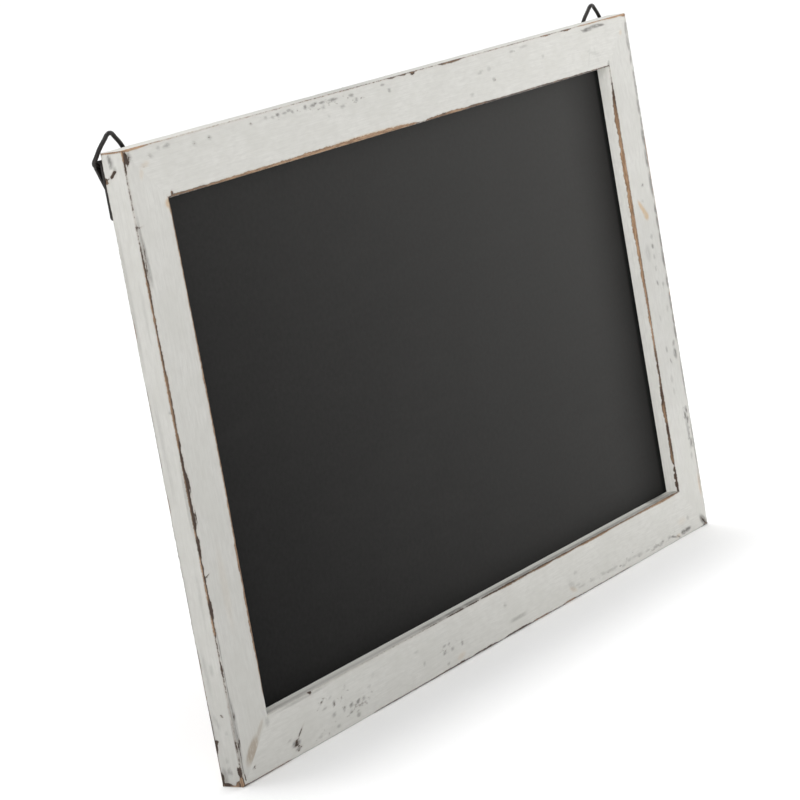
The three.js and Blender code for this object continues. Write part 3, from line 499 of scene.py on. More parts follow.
def bar_coordinates(name, points):
    """(along, in, back) in millimetres, along being the place in the model's frame."""
    bar = BARS[name]
    p = points / MM
    return p[:, bar["axis"]], (p - bar["start"]) @ bar["inward"], p[:, 1] - FRONT


WOBBLE_VALUES = 4096


def wobble(at, pitch, seed):
    """Smooth noise along a line, from -1 to 1, with one random value per pitch."""
    values = np.random.default_rng(seed).uniform(-1, 1, WOBBLE_VALUES)
    t = at / pitch
    i = np.floor(t).astype(int)
    f = t - i
    f = f * f * (3 - 2 * f)
    return values[i % WOBBLE_VALUES] * (1 - f) + values[(i + 1) % WOBBLE_VALUES] * f


def smooth_step(value, low, high):
    t = np.clip((value - low) / (high - low), 0, 1)
    return t * t * (3 - 2 * t)


CORNER_CUT = 0.6  # how much shorter the way round a rounded corner is, in millimetres
EDGE_BLEND = 0.6  # millimetres either side of an edge, where its two widths give way to each other
RIM_WAVES = ((0.2, 1.6), (0.22, 4.3))  # by what share a worn band's width varies, and over what length
BACK_WEAR, BACK_WEAR_VARIES = 0.35, 0.5  # millimetres worn off the outer edge of the back
# How much darker a worn band is on the front face than round its edge; below 0 it is darker round the edge.
TONE_TURN = {("left_stile", "outer"): 0.3, ("bottom_rail", "inner"): -0.18}


def edge_wear(along, off_front, off_side, edge, seed):
    """How far inside the worn band of an edge each point is, in millimetres, and the band's tone."""
    table = np.array(WORN_EDGES[edge])
    front, side, tone = (np.interp(along, table[:, 0], table[:, k]) for k in (1, 2, 3))
    share = smooth_step(off_front - off_side, -EDGE_BLEND, EDGE_BLEND)
    width = side + (front - side) * share
    rough = sum((much * wobble(along, length, seed + k) for k, (much, length) in enumerate(RIM_WAVES)), 1)
    inside = width * rough - np.maximum(off_front + off_side - CORNER_CUT, 0)
    return inside, tone - TONE_TURN.get(edge, 0) * (2 * share - 1)


FAR = -4.0  # millimetres: the value of the worn field where nothing is worn
FACE_BAND = 1.5  # how far from a face the marks on it reach round its edges
CHIP_SLOPE = 1.3  # how steeply a chip's worn field rises, as a share of its half width
SOFT_SPREAD, SOFT_RAMP = 1.5, 0.6  # how far past its size a soft mark fades out, and over what share of that
STAIN_SPREAD, STAIN_RAMP = 1.3, 0.5  # the same for the stains beside the mitre
STAIN_TAN, STAIN_GRIME = 0.75, 0.6  # what a stain is made of
DIRT_EDGE = (BAR - 0.6, BAR - 0.1)  # the reveal's dirt begins here, in from the outer edge
DIRT_DEPTH = ([0.8, 1.6, 4.5, 6.5], [0.3, 1.0, 1.0, 0.0])  # how it fades towards the panel
DARKER_CORNER = (232, 238, 258, 264)  # along the bottom rail, where the reveal is darker all the way back to the panel


def spot(p, q, mark, spread=1.0):
    """How far inside an elliptical spot each point is: 1 at its middle, 0 at its rim, and below 0 outside."""
    u, v, long, wide, turn = mark[:5]
    c, s = math.cos(math.radians(turn)), math.sin(math.radians(turn))
    du, dv = p - u, q - v
    return 1 - np.sqrt(((du * c + dv * s) / (long * spread)) ** 2 + ((dv * c - du * s) / (wide * spread)) ** 2)


def soft_spot(p, q, mark, where, spread=SOFT_SPREAD, ramp=SOFT_RAMP):
    """A mark's strength at each point, fading towards its rim."""
    return np.where(where, mark[5] * smooth_step(spot(p, q, mark, spread), 0, ramp), 0)


def wear_fields(name, seed, points, along, inward, back):
    """What the paint's material reads at each vertex of a bar."""
    worn, tone = np.full(len(points), FAR), np.full(len(points), 0.5)
    tan, grime, speck = (np.zeros(len(points)) for _ in range(3))

    def lay(depth, value):
        better = depth > worn
        worn[better] = depth[better]
        tone[better] = value[better] if np.ndim(value) else value

    def chip(p, q, mark, where, size):
        lay(np.where(where, spot(p, q, mark) * size * CHIP_SLOPE, FAR), mark[5])

    lay(*edge_wear(along, inward, back, (name, "outer"), seed))
    lay(*edge_wear(along, BAR - inward, back, (name, "inner"), seed + 2))
    random_back = BACK_WEAR + BACK_WEAR_VARIES * wobble(along, 14, seed + 4)
    off_back = np.maximum(inward + (THICKNESS - back) - CORNER_CUT, 0)
    lay(random_back - off_back, 0.5 + 0.3 * wobble(along, 9, seed + 5))

    x, z = points[:, 0] / MM, points[:, 2] / MM
    on_front, on_side = back < FACE_BAND, inward < FACE_BAND
    for mark in CHIPS:
        chip(x, z, mark, on_front, mark[3])
    for marks, field in ((TAN, tan), (GRIME, grime), (SPECKLED, speck)):
        for mark in marks:
            np.maximum(field, soft_spot(x, z, mark, on_front), out=field)
    if name == "bottom_rail":
        dirt = np.interp(along, *np.transpose(REVEAL_DIRT)) * smooth_step(inward, *DIRT_EDGE)
        low, inner_low, inner_high, high = DARKER_CORNER
        at_corner = smooth_step(along, low, inner_low) * smooth_step(along, high, inner_high)
        deep = np.maximum(np.interp(back, *DIRT_DEPTH), at_corner * smooth_step(back, 4, 10))
        np.maximum(grime, dirt * deep, out=grime)
    if name == "left_stile":
        for mark in STILE_TAN:
            stain = soft_spot(x, z, mark, on_front, STAIN_SPREAD, STAIN_RAMP)
            np.maximum(tan, STAIN_TAN * stain, out=tan)
            np.maximum(grime, STAIN_GRIME * stain, out=grime)
        for mark in LEFT_SIDE_CHIPS:
            chip(z, back, mark, on_side, min(mark[2:4]))
        for mark in LEFT_SIDE_GRIME:
            np.maximum(grime, soft_spot(z, back, mark, on_side), out=grime)
    raw = smooth_step(back, LIP - 0.3, LIP + 0.3) * smooth_step(inward, 0.3, 1.5)  # behind, the paint is thin
    raw *= smooth_step(BAR - inward, 0.2, 1.5)
    return {"worn": np.maximum(worn, FAR), "tone": tone, "tan": tan, "grime": grime, "speck": speck, "raw": raw}


# How light the paint is painted on each face, as (place along the bar, multiplier): painted light and shade, lighter
# on the inner faces and on stretches of the underside, darker towards the bottom of the left stile.
PAINTED_FACE_LIGHT = {
    ("left_stile", "front"): [(-15, 0.86), (110, 0.83), (210, 0.89), (310, 0.95), (391, 1.0)],
    ("left_stile", "side"): [(-15, 0.69), (25, 0.75), (75, 0.83), (260, 0.92), (391, 0.99)],
    ("top_rail", "front"): [(-305, 1.0), (50, 1.0), (200, 1.05), (305, 1.05)],
    ("top_rail", "side"): [(-305, 1.2), (-200, 1.08), (-60, 0.82), (0, 0.97), (305, 1.04)],
    ("bottom_rail", "front"): [(-305, 0.91), (-60, 0.92), (30, 1.0), (240, 1.04), (305, 1.02)],
    ("bottom_rail", "side"): [
        (-250, 1.0), (-245, 1.45), (-168, 1.45), (-160, 1.1), (185, 1.1), (195, 1.45), (290, 1.45), (300, 1.0),
    ],
    ("bottom_rail", "reveal"): [(-305, 1.52), (305, 1.5)],
    ("right_stile", "front"): [
        (-15, 1.02), (60, 1.0), (110, 0.91), (210, 0.89), (260, 0.98), (330, 0.98), (391, 1.05),
    ],
    ("right_stile", "reveal"): [(-15, 1.38), (391, 1.48)],
}
# Painted light and shade on the bottom rail's upper face from its front edge to the panel, times its level above:
# darker over its front half, lighter by the panel.
REVEAL_PAINTED_LIGHT = ([1.2, 3.7, 6.0, 8.5, 11.2], [0.98, 0.85, 0.92, 1.06, 1.07])
FACE_BLEND = (0.2, 1.2)  # where one face's level gives way to the next, in millimetres past the edge


def painted_face_light(name, along, inward, back):
    """The multiplier of the paint's colour for painted light and shade, even over each face and blended round the
    edges.
    """
    def level(face):
        return np.interp(along, *np.transpose(PAINTED_FACE_LIGHT.get((name, face), [(0, 1.0)])))

    side = smooth_step(back - inward, *FACE_BLEND) * (inward < BAR / 2)
    reveal = smooth_step(back - (BAR - inward), *FACE_BLEND) * (inward > BAR / 2)
    # painted light and shade across the bottom rail's upper face
    reveal_light = np.interp(back, *REVEAL_PAINTED_LIGHT) if name == "bottom_rail" else 1.0
    return level("front") * (1 - side - reveal) + level("side") * side + level("reveal") * reveal_light * reveal


# How far a bar's inner face stands towards the panel: (along, mm)
INNER_BOW = {
    "left_stile": [
        (21, 0), (34, 0.1), (62, 0.75), (100, 0.95), (132, 1.5), (190, 1.62), (250, 1.6), (300, 0.65), (335, 0.55),
        (355, 0),
    ],
}
BOW_SHIFTS = (-12, -6, 0, 6, 12)  # the table is evened out over these


def bowed(name, along, inward, back):
    """The step towards the panel of each point between the step's wall and the inner face, in millimetres."""
    table = np.transpose(INNER_BOW.get(name, [(0, 0)]))
    step = sum(np.interp(along + shift, *table) for shift in BOW_SHIFTS) / len(BOW_SHIFTS)
    return step * smooth_step(inward, STEP, BAR) * (back < LIP + 0.01)


CHIP_DEPTH = 0.28  # millimetres of paint and wood that a worn place has lost
DENT_DEPTH = 0.12
GRIME_DARKENS = 0.25  # share of the paint's brightness that full grime takes off on top of its colour
GRAIN_APART = 1000  # millimetres from one bar's grain to the next one's


def make_bar(number, name, paint):
    made = new_object("worn_" + name, bar_mesh(name))
    cut_away(made, "slots", nail_slots(name))
    mesh = made.data
    points = read_vectors(mesh.vertices, "co")
    along, inward, back = bar_coordinates(name, points)
    fields = wear_fields(name, 10 * number + 100, points, along, inward, back)
    fields["grain"] = np.stack([along + GRAIN_APART * number, inward, back], axis=1)
    # the colour multiplier: painted light and shade on each face, darkened where there is grime
    fields["pale"] = painted_face_light(name, along, inward, back) * (1 - GRIME_DARKENS * fields["grime"])
    for label, values in fields.items():
        carry(mesh, label, values)

    # worn places are sunk into the wood, with ragged rims and shallow dents round them
    worn, grain_along, seed = fields["worn"], along + GRAIN_APART * number, 7 * number
    ragged = worn + 0.25 * wobble(grain_along, 0.9, seed) + 0.2 * wobble(inward + back, 0.8, seed + 1)
    sunk = CHIP_DEPTH * smooth_step(ragged, -0.1, 0.5)
    sunk += DENT_DEPTH * (0.5 + 0.5 * wobble(grain_along, 23, seed + 2)) * smooth_step(worn, -3, 0)
    in_step = (inward > STEP - 0.2) & (back > LIP - 0.4)
    whole_end = (from_mitre(name, along, inward) < 0.05) & (worn < 0)
    on_back = (back > THICKNESS - 0.01) & (inward > 1.2)
    sunk[in_step | whole_end | on_back] = 0  # these faces stay flat
    moved = points - read_vectors(mesh.vertex_normals, "vector") * (sunk * MM)[:, None]
    moved += BARS[name]["inward"] * (bowed(name, along, inward, back) * MM)[:, None]
    mesh.vertices.foreach_set("co", moved.astype(np.float32).ravel())
    mesh.update()
    shade(made, 40)
    dressed(made, paint, "frame", name)


def from_mitre(name, along, inward):
    """How far each point is from the bar's nearer mitred end, measured along the bar."""
    middle = 0 if BARS[name]["axis"] == 0 else MIDDLE
    return BARS[name]["length"] / 2 - inward - GLUE_LINE - np.abs(along - middle)


V_NAIL_LEG, V_NAIL_METAL, V_NAIL_GAP = 5.0, 0.6, 0.3
V_NAIL_ROOM, V_NAIL_OVER = 10.9, 2.0  # how deep its slot is, and how far the cut runs on past the back
V_NAIL_HALF_ANGLE = math.radians(55)
V_NAIL_INSETS = (8.0, 21.0)  # from the frame's corner, along both of its sides


def v_outline(grow):
    """A V-shaped nail seen from behind, with its apex at the origin, and grown by so much all round."""
    sine, cosine = math.sin(V_NAIL_HALF_ANGLE), math.cos(V_NAIL_HALF_ANGLE)
    reach = V_NAIL_LEG + grow

    def upper(off):
        return reach * cosine + off * sine, reach * sine - off * cosine

    low, high = -grow, V_NAIL_METAL + grow
    (lx, ly), (hx, hy) = upper(low), upper(high)
    return [(low / sine, 0), (lx, -ly), (hx, -hy), (high / sine, 0), (hx, hy), (lx, ly)]


def nail_slots(name):
    """The slots across the ends of one bar that its V-shaped nails stand in."""
    points, faces = [], []
    x, _, z = BARS[name]["start"]
    corners = [(cx, cz) for cx in (LEFT, RIGHT) for cz in (BOTTOM, TOP) if cx == x or cz == z]
    outline = v_outline(V_NAIL_GAP)
    for corner in corners:
        into = np.array([-math.copysign(1, corner[0]), -math.copysign(1, corner[1] - MIDDLE)])
        open_way = into / math.sqrt(2)
        across = np.array([-open_way[1], open_way[0]])
        for inset in V_NAIL_INSETS:
            sides, caps = tube_faces(2, len(outline), len(points))
            faces += caps + sides
            for y in (-V_NAIL_ROOM, V_NAIL_OVER):
                for u, v in outline:
                    p = corner + into * inset + u * open_way + v * across
                    points.append((p[0] * MM, y * MM, p[1] * MM))
    return mesh_from(name + "_slots", points, faces)


# ---------------------------------------------------------------- materials
def worn_paint():
    """Grey-white brushed paint over an old dark finish over pine, worn through where the mesh says so."""
    look = Look("worn_white_paint")
    grain = look.vector("grain")
    worn, tone, speck, raw = (look.value(name) for name in ("worn", "tone", "speck", "raw"))
    strokes = look.noise(look.scaled(grain, (0.035, 1.0, 1.0)), 1.1, 4, 0.6)
    fibres = look.noise(look.scaled(grain, (0.06, 2.6, 2.6)), 1.0, 4, 0.65, 0.3)
    clouds = look.noise(grain, 0.035, 3, 0.55)
    fine = look.noise(grain, 1.9, 3, 0.7)
    ragged = look.noise(look.scaled(grain, (0.6, 1.0, 1.0)), 0.85, 3, 0.65)
    mottle = look.noise(look.scaled(grain, (0.13, 0.36, 0.36)), 1.0, 3, 0.55)
    smear = look.noise(look.scaled(grain, (0.22, 0.5, 0.5)), 1.0, 4, 0.7)
    veins = look.noise(look.scaled(grain, (0.1, 0.75, 0.75)), 1.0, 3, 0.6)

    # where the paint is gone, where it is thin round that, and where small dots of it are gone
    edge = look.varied(worn, (ragged, 1.3), (fine, 0.65))
    bare = look.step(edge, -0.2, 0.24)
    halo = look.step(edge, -1.1, 0.2)
    dots = look.noise(look.scaled(grain, (0.45, 0.95, 0.95)), 0.45, 3, 0.62)
    dots = look.times(look.step(look.plus(dots, (speck, 0.22)), 0.72, 0.82), look.step(speck, 0.05, 0.3))

    # the paint
    paint = look.mix(look.step(strokes, 0.3, 0.7), rgb(199, 198, 193), rgb(208, 207, 202))
    paint = look.layer(paint, look.step(mottle, 0.4, 0.68), 0.34, rgb(186, 184, 179))
    paint = look.layer(paint, look.step(clouds, 0.35, 0.7), 0.55, rgb(195, 194, 188))
    paint = look.layer(paint, look.step(fibres, 0.56, 0.74), 0.22, rgb(176, 173, 166))
    grime = look.times(look.value("grime"), look.step(smear, 0.3, 0.56, 0.15, 1.0))
    paint = look.layer(paint, grime, 0.85, rgb(112, 109, 104))
    tan = look.times(look.value("tan"), look.step(smear, 0.25, 0.6, 0.7, 1.0))
    paint = look.layer(paint, tan, 0.9, (0.93, 0.68, 0.43, 1.0), "MULTIPLY")
    paint = look.layer(paint, halo, 0.3, rgb(160, 146, 132))
    paint = look.layer(paint, dots, 0.55, rgb(106, 98, 90))

    # under it, bare wood and the old dark finish, which lies between the paint and the wood
    wood = look.mix(look.step(veins, 0.36, 0.62), rgb(170, 139, 110), rgb(126, 99, 75))
    stain = look.mix(look.step(fine, 0.3, 0.7), rgb(42, 33, 27), rgb(80, 60, 46))
    rim = look.step(edge, 0.5, 0.05)
    shade_at = look.plus(look.varied(tone, (fibres, 0.8), (veins, 1.3)), (rim, -0.3))
    front = look.mix(bare, paint, look.mix(look.step(shade_at, 0.3, 0.62), stain, wood))

    # behind, one thin coat lets the wood through
    thin = look.noise(look.scaled(grain, (0.02, 0.5, 0.5)), 1.0, 5, 0.65)
    thin_paint = look.mix(look.step(thin, 0.36, 0.62), rgb(196, 187, 170), rgb(160, 132, 100))
    thin_paint = look.layer(thin_paint, look.step(fibres, 0.5, 0.75), 0.5, rgb(132, 104, 76))
    painted = look.math("SUBTRACT", 1.0, bare)
    colour = look.mix(look.times(raw, painted), front, thin_paint)
    # painted light and shade, with grime's darkening, multiply the colour
    colour = look.mix(1.0, colour, look.grey(look.value("pale")), "MULTIPLY")

    height = look.plus(look.times(strokes, 0.25), (fibres, 0.35), (fine, 0.12), (painted, 0.9), (dots, -0.5))
    roughness = look.plus(0.46, (strokes, 0.22), (bare, 0.2), clamp=True)
    return look.finish(Base_Color=colour, Roughness=roughness, Normal=look.bump(height, 0.00018, 0.8))


WEAVE_PITCH = 1.6  # millimetres


def chalk_board():
    """Matt black chalk paint on the front of brown hardboard with its woven back."""
    look = Look("chalk_board")
    place = look.place()
    x, y, z = look.node("SeparateXYZ", {0: place}).outputs
    clouds = look.noise(place, 0.012, 4, 0.6)
    tooth = look.noise(place, 3.2, 3, 0.7)
    wiped = look.noise(look.scaled(place, (0.012, 1.0, 0.05)), 1.0, 4, 0.55, 0.4)
    blots = look.noise(place, 0.3, 3, 0.6)
    flecks = look.noise(place, 0.55, 2, 0.5)

    # painted sheen: the black is painted lighter from the lower left to the upper right, with a thin film of wiped
    # chalk on it
    chalk_and_sheen = look.varied(look.plus(0.019, (z, 0.0000407), (x, 0.0000567)), (clouds, 0.004))
    chalk_and_sheen = look.plus(chalk_and_sheen, (look.step(wiped, 0.45, 0.75), 0.0022), (look.step(tooth, 0.60, 0.82), 0.006))
    chalk_and_sheen = look.plus(look.varied(chalk_and_sheen, (blots, 0.011)), (look.step(flecks, 0.76, 0.82), 0.012))
    # painted shadow: the panel is darkened next to the right stile, and a little next to the bottom rail, where their
    # shadow falls on it
    from_right = look.math("SUBTRACT", RIGHT - BAR, x)
    from_bottom = look.math("SUBTRACT", z, BOTTOM + BAR)
    rubbed = look.times(look.step(from_right, 2.5, 7.5, 0.05, 1.0), look.step(from_right, -12, 66, 0.38, 1.0))
    rubbed = look.times(rubbed, look.step(from_bottom, -6, 22, 0.7, 1.0))
    # the black with its painted sheen and chalk, times the painted shadow, a little warm
    black = look.mix(1.0, look.grey(look.times(chalk_and_sheen, rubbed)), (1.02, 1.0, 0.955, 1.0), "MULTIPLY")

    fibres = look.noise(place, 0.9, 4, 0.7)
    weave_x, weave_z = (look.math("SINE", look.times(way, 2 * math.pi / WEAVE_PITCH)) for way in (x, z))
    weave = look.plus(look.times(fibres, 1.2), (weave_x, weave_z))
    brown = look.mix(look.step(fibres, 0.3, 0.7), rgb(112, 82, 56), rgb(84, 58, 38))
    brown = look.layer(brown, look.step(weave, -0.4, 1.4), 0.45, rgb(60, 41, 28))
    behind = look.step(y, PANEL_FACE + 0.35, PANEL_FACE + 0.55)

    height = look.plus(look.times(wiped, 0.2), (tooth, 0.55))
    height = look.math("ADD", height, look.times(weave, look.times(behind, 0.9)))
    roughness = look.plus(look.step(tooth, 0.3, 0.7, 0.52, 0.6), (wiped, 0.1))
    normal = look.bump(height, 0.00012, 0.7)
    colour = look.mix(behind, black, brown)
    return look.finish(Base_Color=colour, Roughness=roughness, Normal=normal, Specular_IOR_Level=0.08)


def black_steel():
    """Black finish on bent steel, a little rubbed."""
    look = Look("black_steel")
    place = look.place()
    blotches = look.noise(place, 0.22, 4, 0.6)
    grit = look.noise(place, 3.0, 3, 0.6)
    rubbed = look.noise(look.scaled(place, (0.9, 0.9, 0.35)), 1.3, 4, 0.7)
    colour = look.mix(look.step(blotches, 0.3, 0.7), rgb(30, 27, 26), rgb(43, 39, 37))
    colour = look.layer(colour, look.step(rubbed, 0.62, 0.78), 0.45, rgb(96, 88, 80))
    roughness = look.plus(look.step(blotches, 0.3, 0.7, 0.26, 0.4), (grit, 0.22))
    normal = look.bump(look.plus(blotches, (grit, 0.5)), 0.00006, 0.6)
    return look.finish(Base_Color=colour, Metallic=0.35, Roughness=roughness, Normal=normal)


def bare_steel():
    """Plated fixings with fine brush lines and a little rust."""
    look = Look("bare_steel")
    place = look.place()
    lines = look.noise(look.scaled(place, (3.5, 0.3, 3.5)), 1.0, 3, 0.6)
    rust = look.noise(place, 0.55, 4, 0.65)
    rusty = look.times(look.step(rust, 0.56, 0.7), 0.7)
    steel = look.mix(lines, rgb(132, 134, 138), rgb(172, 173, 175))
    colour = look.mix(rusty, steel, rgb(112, 70, 44))
    metallic = look.math("SUBTRACT", 1.0, rusty)
    roughness = look.plus(look.step(lines, 0.3, 0.7, 0.26, 0.42), (rusty, 0.35))
    normal = look.bump(look.plus(lines, (rust, 0.8)), 0.00005, 0.6)
    return look.finish(Base_Color=colour, Metallic=metallic, Roughness=roughness, Normal=normal)


def floor_paper():
    look = Look("floor_paper")
    fine = look.noise(look.place(), 0.4, 3, 0.6)
    colour = look.mix(fine, rgb(250, 250, 250), rgb(252, 252, 252))
    return look.finish(Base_Color=colour, Roughness=look.step(fine, 0.3, 0.7, 0.85, 0.95))


PAINT, BOARD, BLACK, STEEL = worn_paint(), chalk_board(), black_steel(), bare_steel()


# ---------------------------------------------------------------- the frame and the panel
for number, bar_name in enumerate(BARS):
    make_bar(number, bar_name, PAINT)

PANEL_HALF = (274.5, 172.5)
PANEL_EASE = 0.25  # how far the sheet's sawn edges are rounded
PANEL_WAVE = 0.1  # millimetres, at most
PANEL_POINTS = 81  # along each side of its faces


def panel_face(n, depth, swell):
    """One face as rows of points, swelling by the wave in the direction that the sign of swell says."""
    half_x, half_z = (half - PANEL_EASE for half in PANEL_HALF)
    points = []
    for v in np.linspace(-1, 1, n):
        for u in np.linspace(-1, 1, n):
            x, z = u * half_x, v * half_z
            inner = (1 - u**2) * (1 - v**2)
            wave = PANEL_WAVE * inner * (0.5 + 0.5 * math.sin(x / 61) * math.cos(z / 47 + 0.6))
            points.append((x, depth + wave * swell, z + MIDDLE))
    return points


def make_panel():
    """The hardboard sheet, with eased edges and the slight wave that a painted sheet has."""
    n, run = PANEL_POINTS, range(PANEL_POINTS - 1)
    points = panel_face(n, PANEL_FACE, 1) + panel_face(n, PANEL_BACK, -1)
    faces = []
    for first in (0, n * n):
        corners = [first + j * n + i for j in run for i in run]
        faces += [(a, a + 1, a + n + 1, a + n) for a in corners]
    edge = [*run, *(j * n + n - 1 for j in run), *(n * n - 1 - i for i in run), *((n - 1 - j) * n for j in run)]
    loops = [edge]
    scales = [half / (half - PANEL_EASE) for half in PANEL_HALF]
    for depth in (PANEL_FACE + PANEL_EASE, PANEL_BACK - PANEL_EASE):
        loops.append(range(len(points), len(points) + len(edge)))
        for x, _, z in [points[index] for index in edge]:
            points.append((x * scales[0], depth, (z - MIDDLE) * scales[1] + MIDDLE))
    loops.append([n * n + index for index in edge])
    for near, far in zip(loops, loops[1:]):
        for k in range(len(edge)):
            m = (k + 1) % len(edge)
            faces.append((near[k], near[m], far[m], far[k]))
    made = new_object("chalk_panel", mesh_from("chalk_panel", np.array(points) * MM, faces))
    shade(made, 60)
    dressed(made, BOARD, "frame", "chalkboard_panel")


make_panel()


# ---------------------------------------------------------------- hangers
PLATE_WIDTH, PLATE_METAL, FOLD_RADIUS = 26.4, 1.5, 3.5
FOLD_Z = 382.9  # the height of the fold's centre
PLATE_FRONT = 0.3
WIRE_RADIUS, BASE_WIRE_RADIUS = 1.42, 1.2  # above the fold, and in it
WIRE_OFF_CENTRE = 0.565  # from the fold's centre to the wire's, halfway between the wall's direction and up
WIRE_END_GAP, WIRE_END_EASE = 1.0, 0.25  # between its two cut ends, and how far they are eased
WIRE_GROWS = 2.2  # beside the plate, from its thickness in the fold to its full one
WIRE_SIDES = 28
RING_SLOPE = math.radians(48.15)
RING_TOP_RADIUS, RING_BASE_RADIUS = 4.5, 1.98
RING_LEG_BOW = 0.6
RING_LEAN = math.radians(10)
RING_OFF = WIRE_OFF_CENTRE * math.cos(math.radians(45))  # the same towards the wall and up
RING_CLEAR = 0.5  # from the plate's top to the wire, at the plate's end
RING_HALF = PLATE_WIDTH / 2 + (
    FOLD_RADIUS - RING_OFF + RING_CLEAR + WIRE_RADIUS / math.cos(RING_SLOPE)
) / math.tan(RING_SLOPE)
RING_HEIGHT = RING_HALF * math.tan(RING_SLOPE)
HANGERS = {"left": LEFT + 14.0, "right": RIGHT - 16.5}
SCREW_SPOTS = (-6.5, 6.5)
SCREW_Z = FOLD_Z - 25.5


def ring_line():
    """The wire's middle line in the ring's own plane: base, corner, leg, top bend, leg, corner, base."""
    corner = RING_HALF - RING_BASE_RADIUS / math.tan(RING_SLOPE / 2)
    top = RING_HEIGHT - RING_TOP_RADIUS / math.cos(RING_SLOPE)

    def arc(cx, cy, radius, start, end, count):
        return [(cx + radius * math.cos(t), cy + radius * math.sin(t)) for t in np.linspace(start, end, count)]

    def straight(p, q, bow=0.0, pitch=0.8):
        p, q = np.array(p), np.array(q)
        way = q - p
        out = np.array([way[1], -way[0]]) / np.linalg.norm(way)
        share = np.linspace(0, 1, max(2, round(np.linalg.norm(way) / pitch)) + 1)[1:-1]
        return [tuple(p + way * t + out * bow * math.sin(math.pi * t) ** 2) for t in share]

    quarter, slope = math.pi / 2, RING_SLOPE
    right = arc(corner, RING_BASE_RADIUS, RING_BASE_RADIUS, -quarter, quarter - slope, 12)
    bend = arc(0, top, RING_TOP_RADIUS, quarter - slope, quarter + slope, 18)
    left = arc(-corner, RING_BASE_RADIUS, RING_BASE_RADIUS, quarter + slope, 3 * quarter, 12)
    start, end = (WIRE_END_GAP / 2, 0), (-WIRE_END_GAP / 2, 0)
    line = [start, *straight(start, right[0]), *right, *straight(right[-1], bend[0], RING_LEG_BOW), *bend]
    return np.array([*line, *straight(bend[-1], left[0], RING_LEG_BOW), *left, *straight(left[-1], end), end])


def ring_mesh(name, centre):
    line = ring_line()
    tangent = np.gradient(line, axis=0)
    tangent /= np.linalg.norm(tangent, axis=1)[:, None]
    outward = np.stack([tangent[:, 1], -tangent[:, 0]], axis=1)
    beside_plate = smooth_step(np.abs(line[:, 0]), PLATE_WIDTH / 2, PLATE_WIDTH / 2 + WIRE_GROWS)
    above_fold = smooth_step(line[:, 1], 1.5, 3)
    radii = BASE_WIRE_RADIUS + (WIRE_RADIUS - BASE_WIRE_RADIUS) * np.maximum(beside_plate, above_fold)
    ease = WIRE_END_EASE
    first = [(line[0], outward[0], radii[0] - ease), (line[0] + tangent[0] * ease, outward[0], radii[0])]
    last = [(line[-1] - tangent[-1] * ease, outward[-1], radii[-1]), (line[-1], outward[-1], radii[-1] - ease)]
    rows = first + list(zip(line, outward, radii))[1:-1] + last
    turns = np.linspace(0, 2 * math.pi, WIRE_SIDES, endpoint=False)
    points = []
    for (px, pz), (ox, oz), radius in rows:
        for t in turns:
            points.append((px + ox * radius * math.cos(t), radius * math.sin(t), pz + oz * radius * math.cos(t)))
    sides, caps = tube_faces(len(rows), WIRE_SIDES)
    turn = np.array(Matrix.Rotation(RING_LEAN, 3, "X"))
    at = np.array([centre, PLATE_FRONT + FOLD_RADIUS + RING_OFF, FOLD_Z + RING_OFF])
    return mesh_from(name, (np.array(points) @ turn.T + at) * MM, sides + caps)


def softened(name, node, width):
    """A node's shape with its sharp edges rounded."""
    made = new_object(name, clean_copy(name, node))
    bevel = made.modifiers.new("rounded", "BEVEL")
    bevel.width, bevel.segments, bevel.limit_method = width * MM, 2, "ANGLE"
    bevel.angle_limit = math.radians(35)
    bevel.harden_normals = False
    applied(made)
    shade(made, 30)
    return made


SCREW_HEAD_RADIUS, SCREW_HEAD_HEIGHT, SCREW_RIM, SCREW_EASE = 3.0, 1.9, 0.7, 0.15
SCREW_SHANK, SCREW_LENGTH, SCREW_TIP = 1.5, 12.0, 3.0
SCREW_SIDES = 48
THREAD_TURNS, THREAD_PITCH, THREAD_DEPTH = 14, 0.6, 0.4
CROSS_HALF, CROSS_WIDE, CROSS_DEEP, CROSS_OVER = 1.7, 0.42, 1.1, 0.6  # an arm, its depth, and the cut's run-out


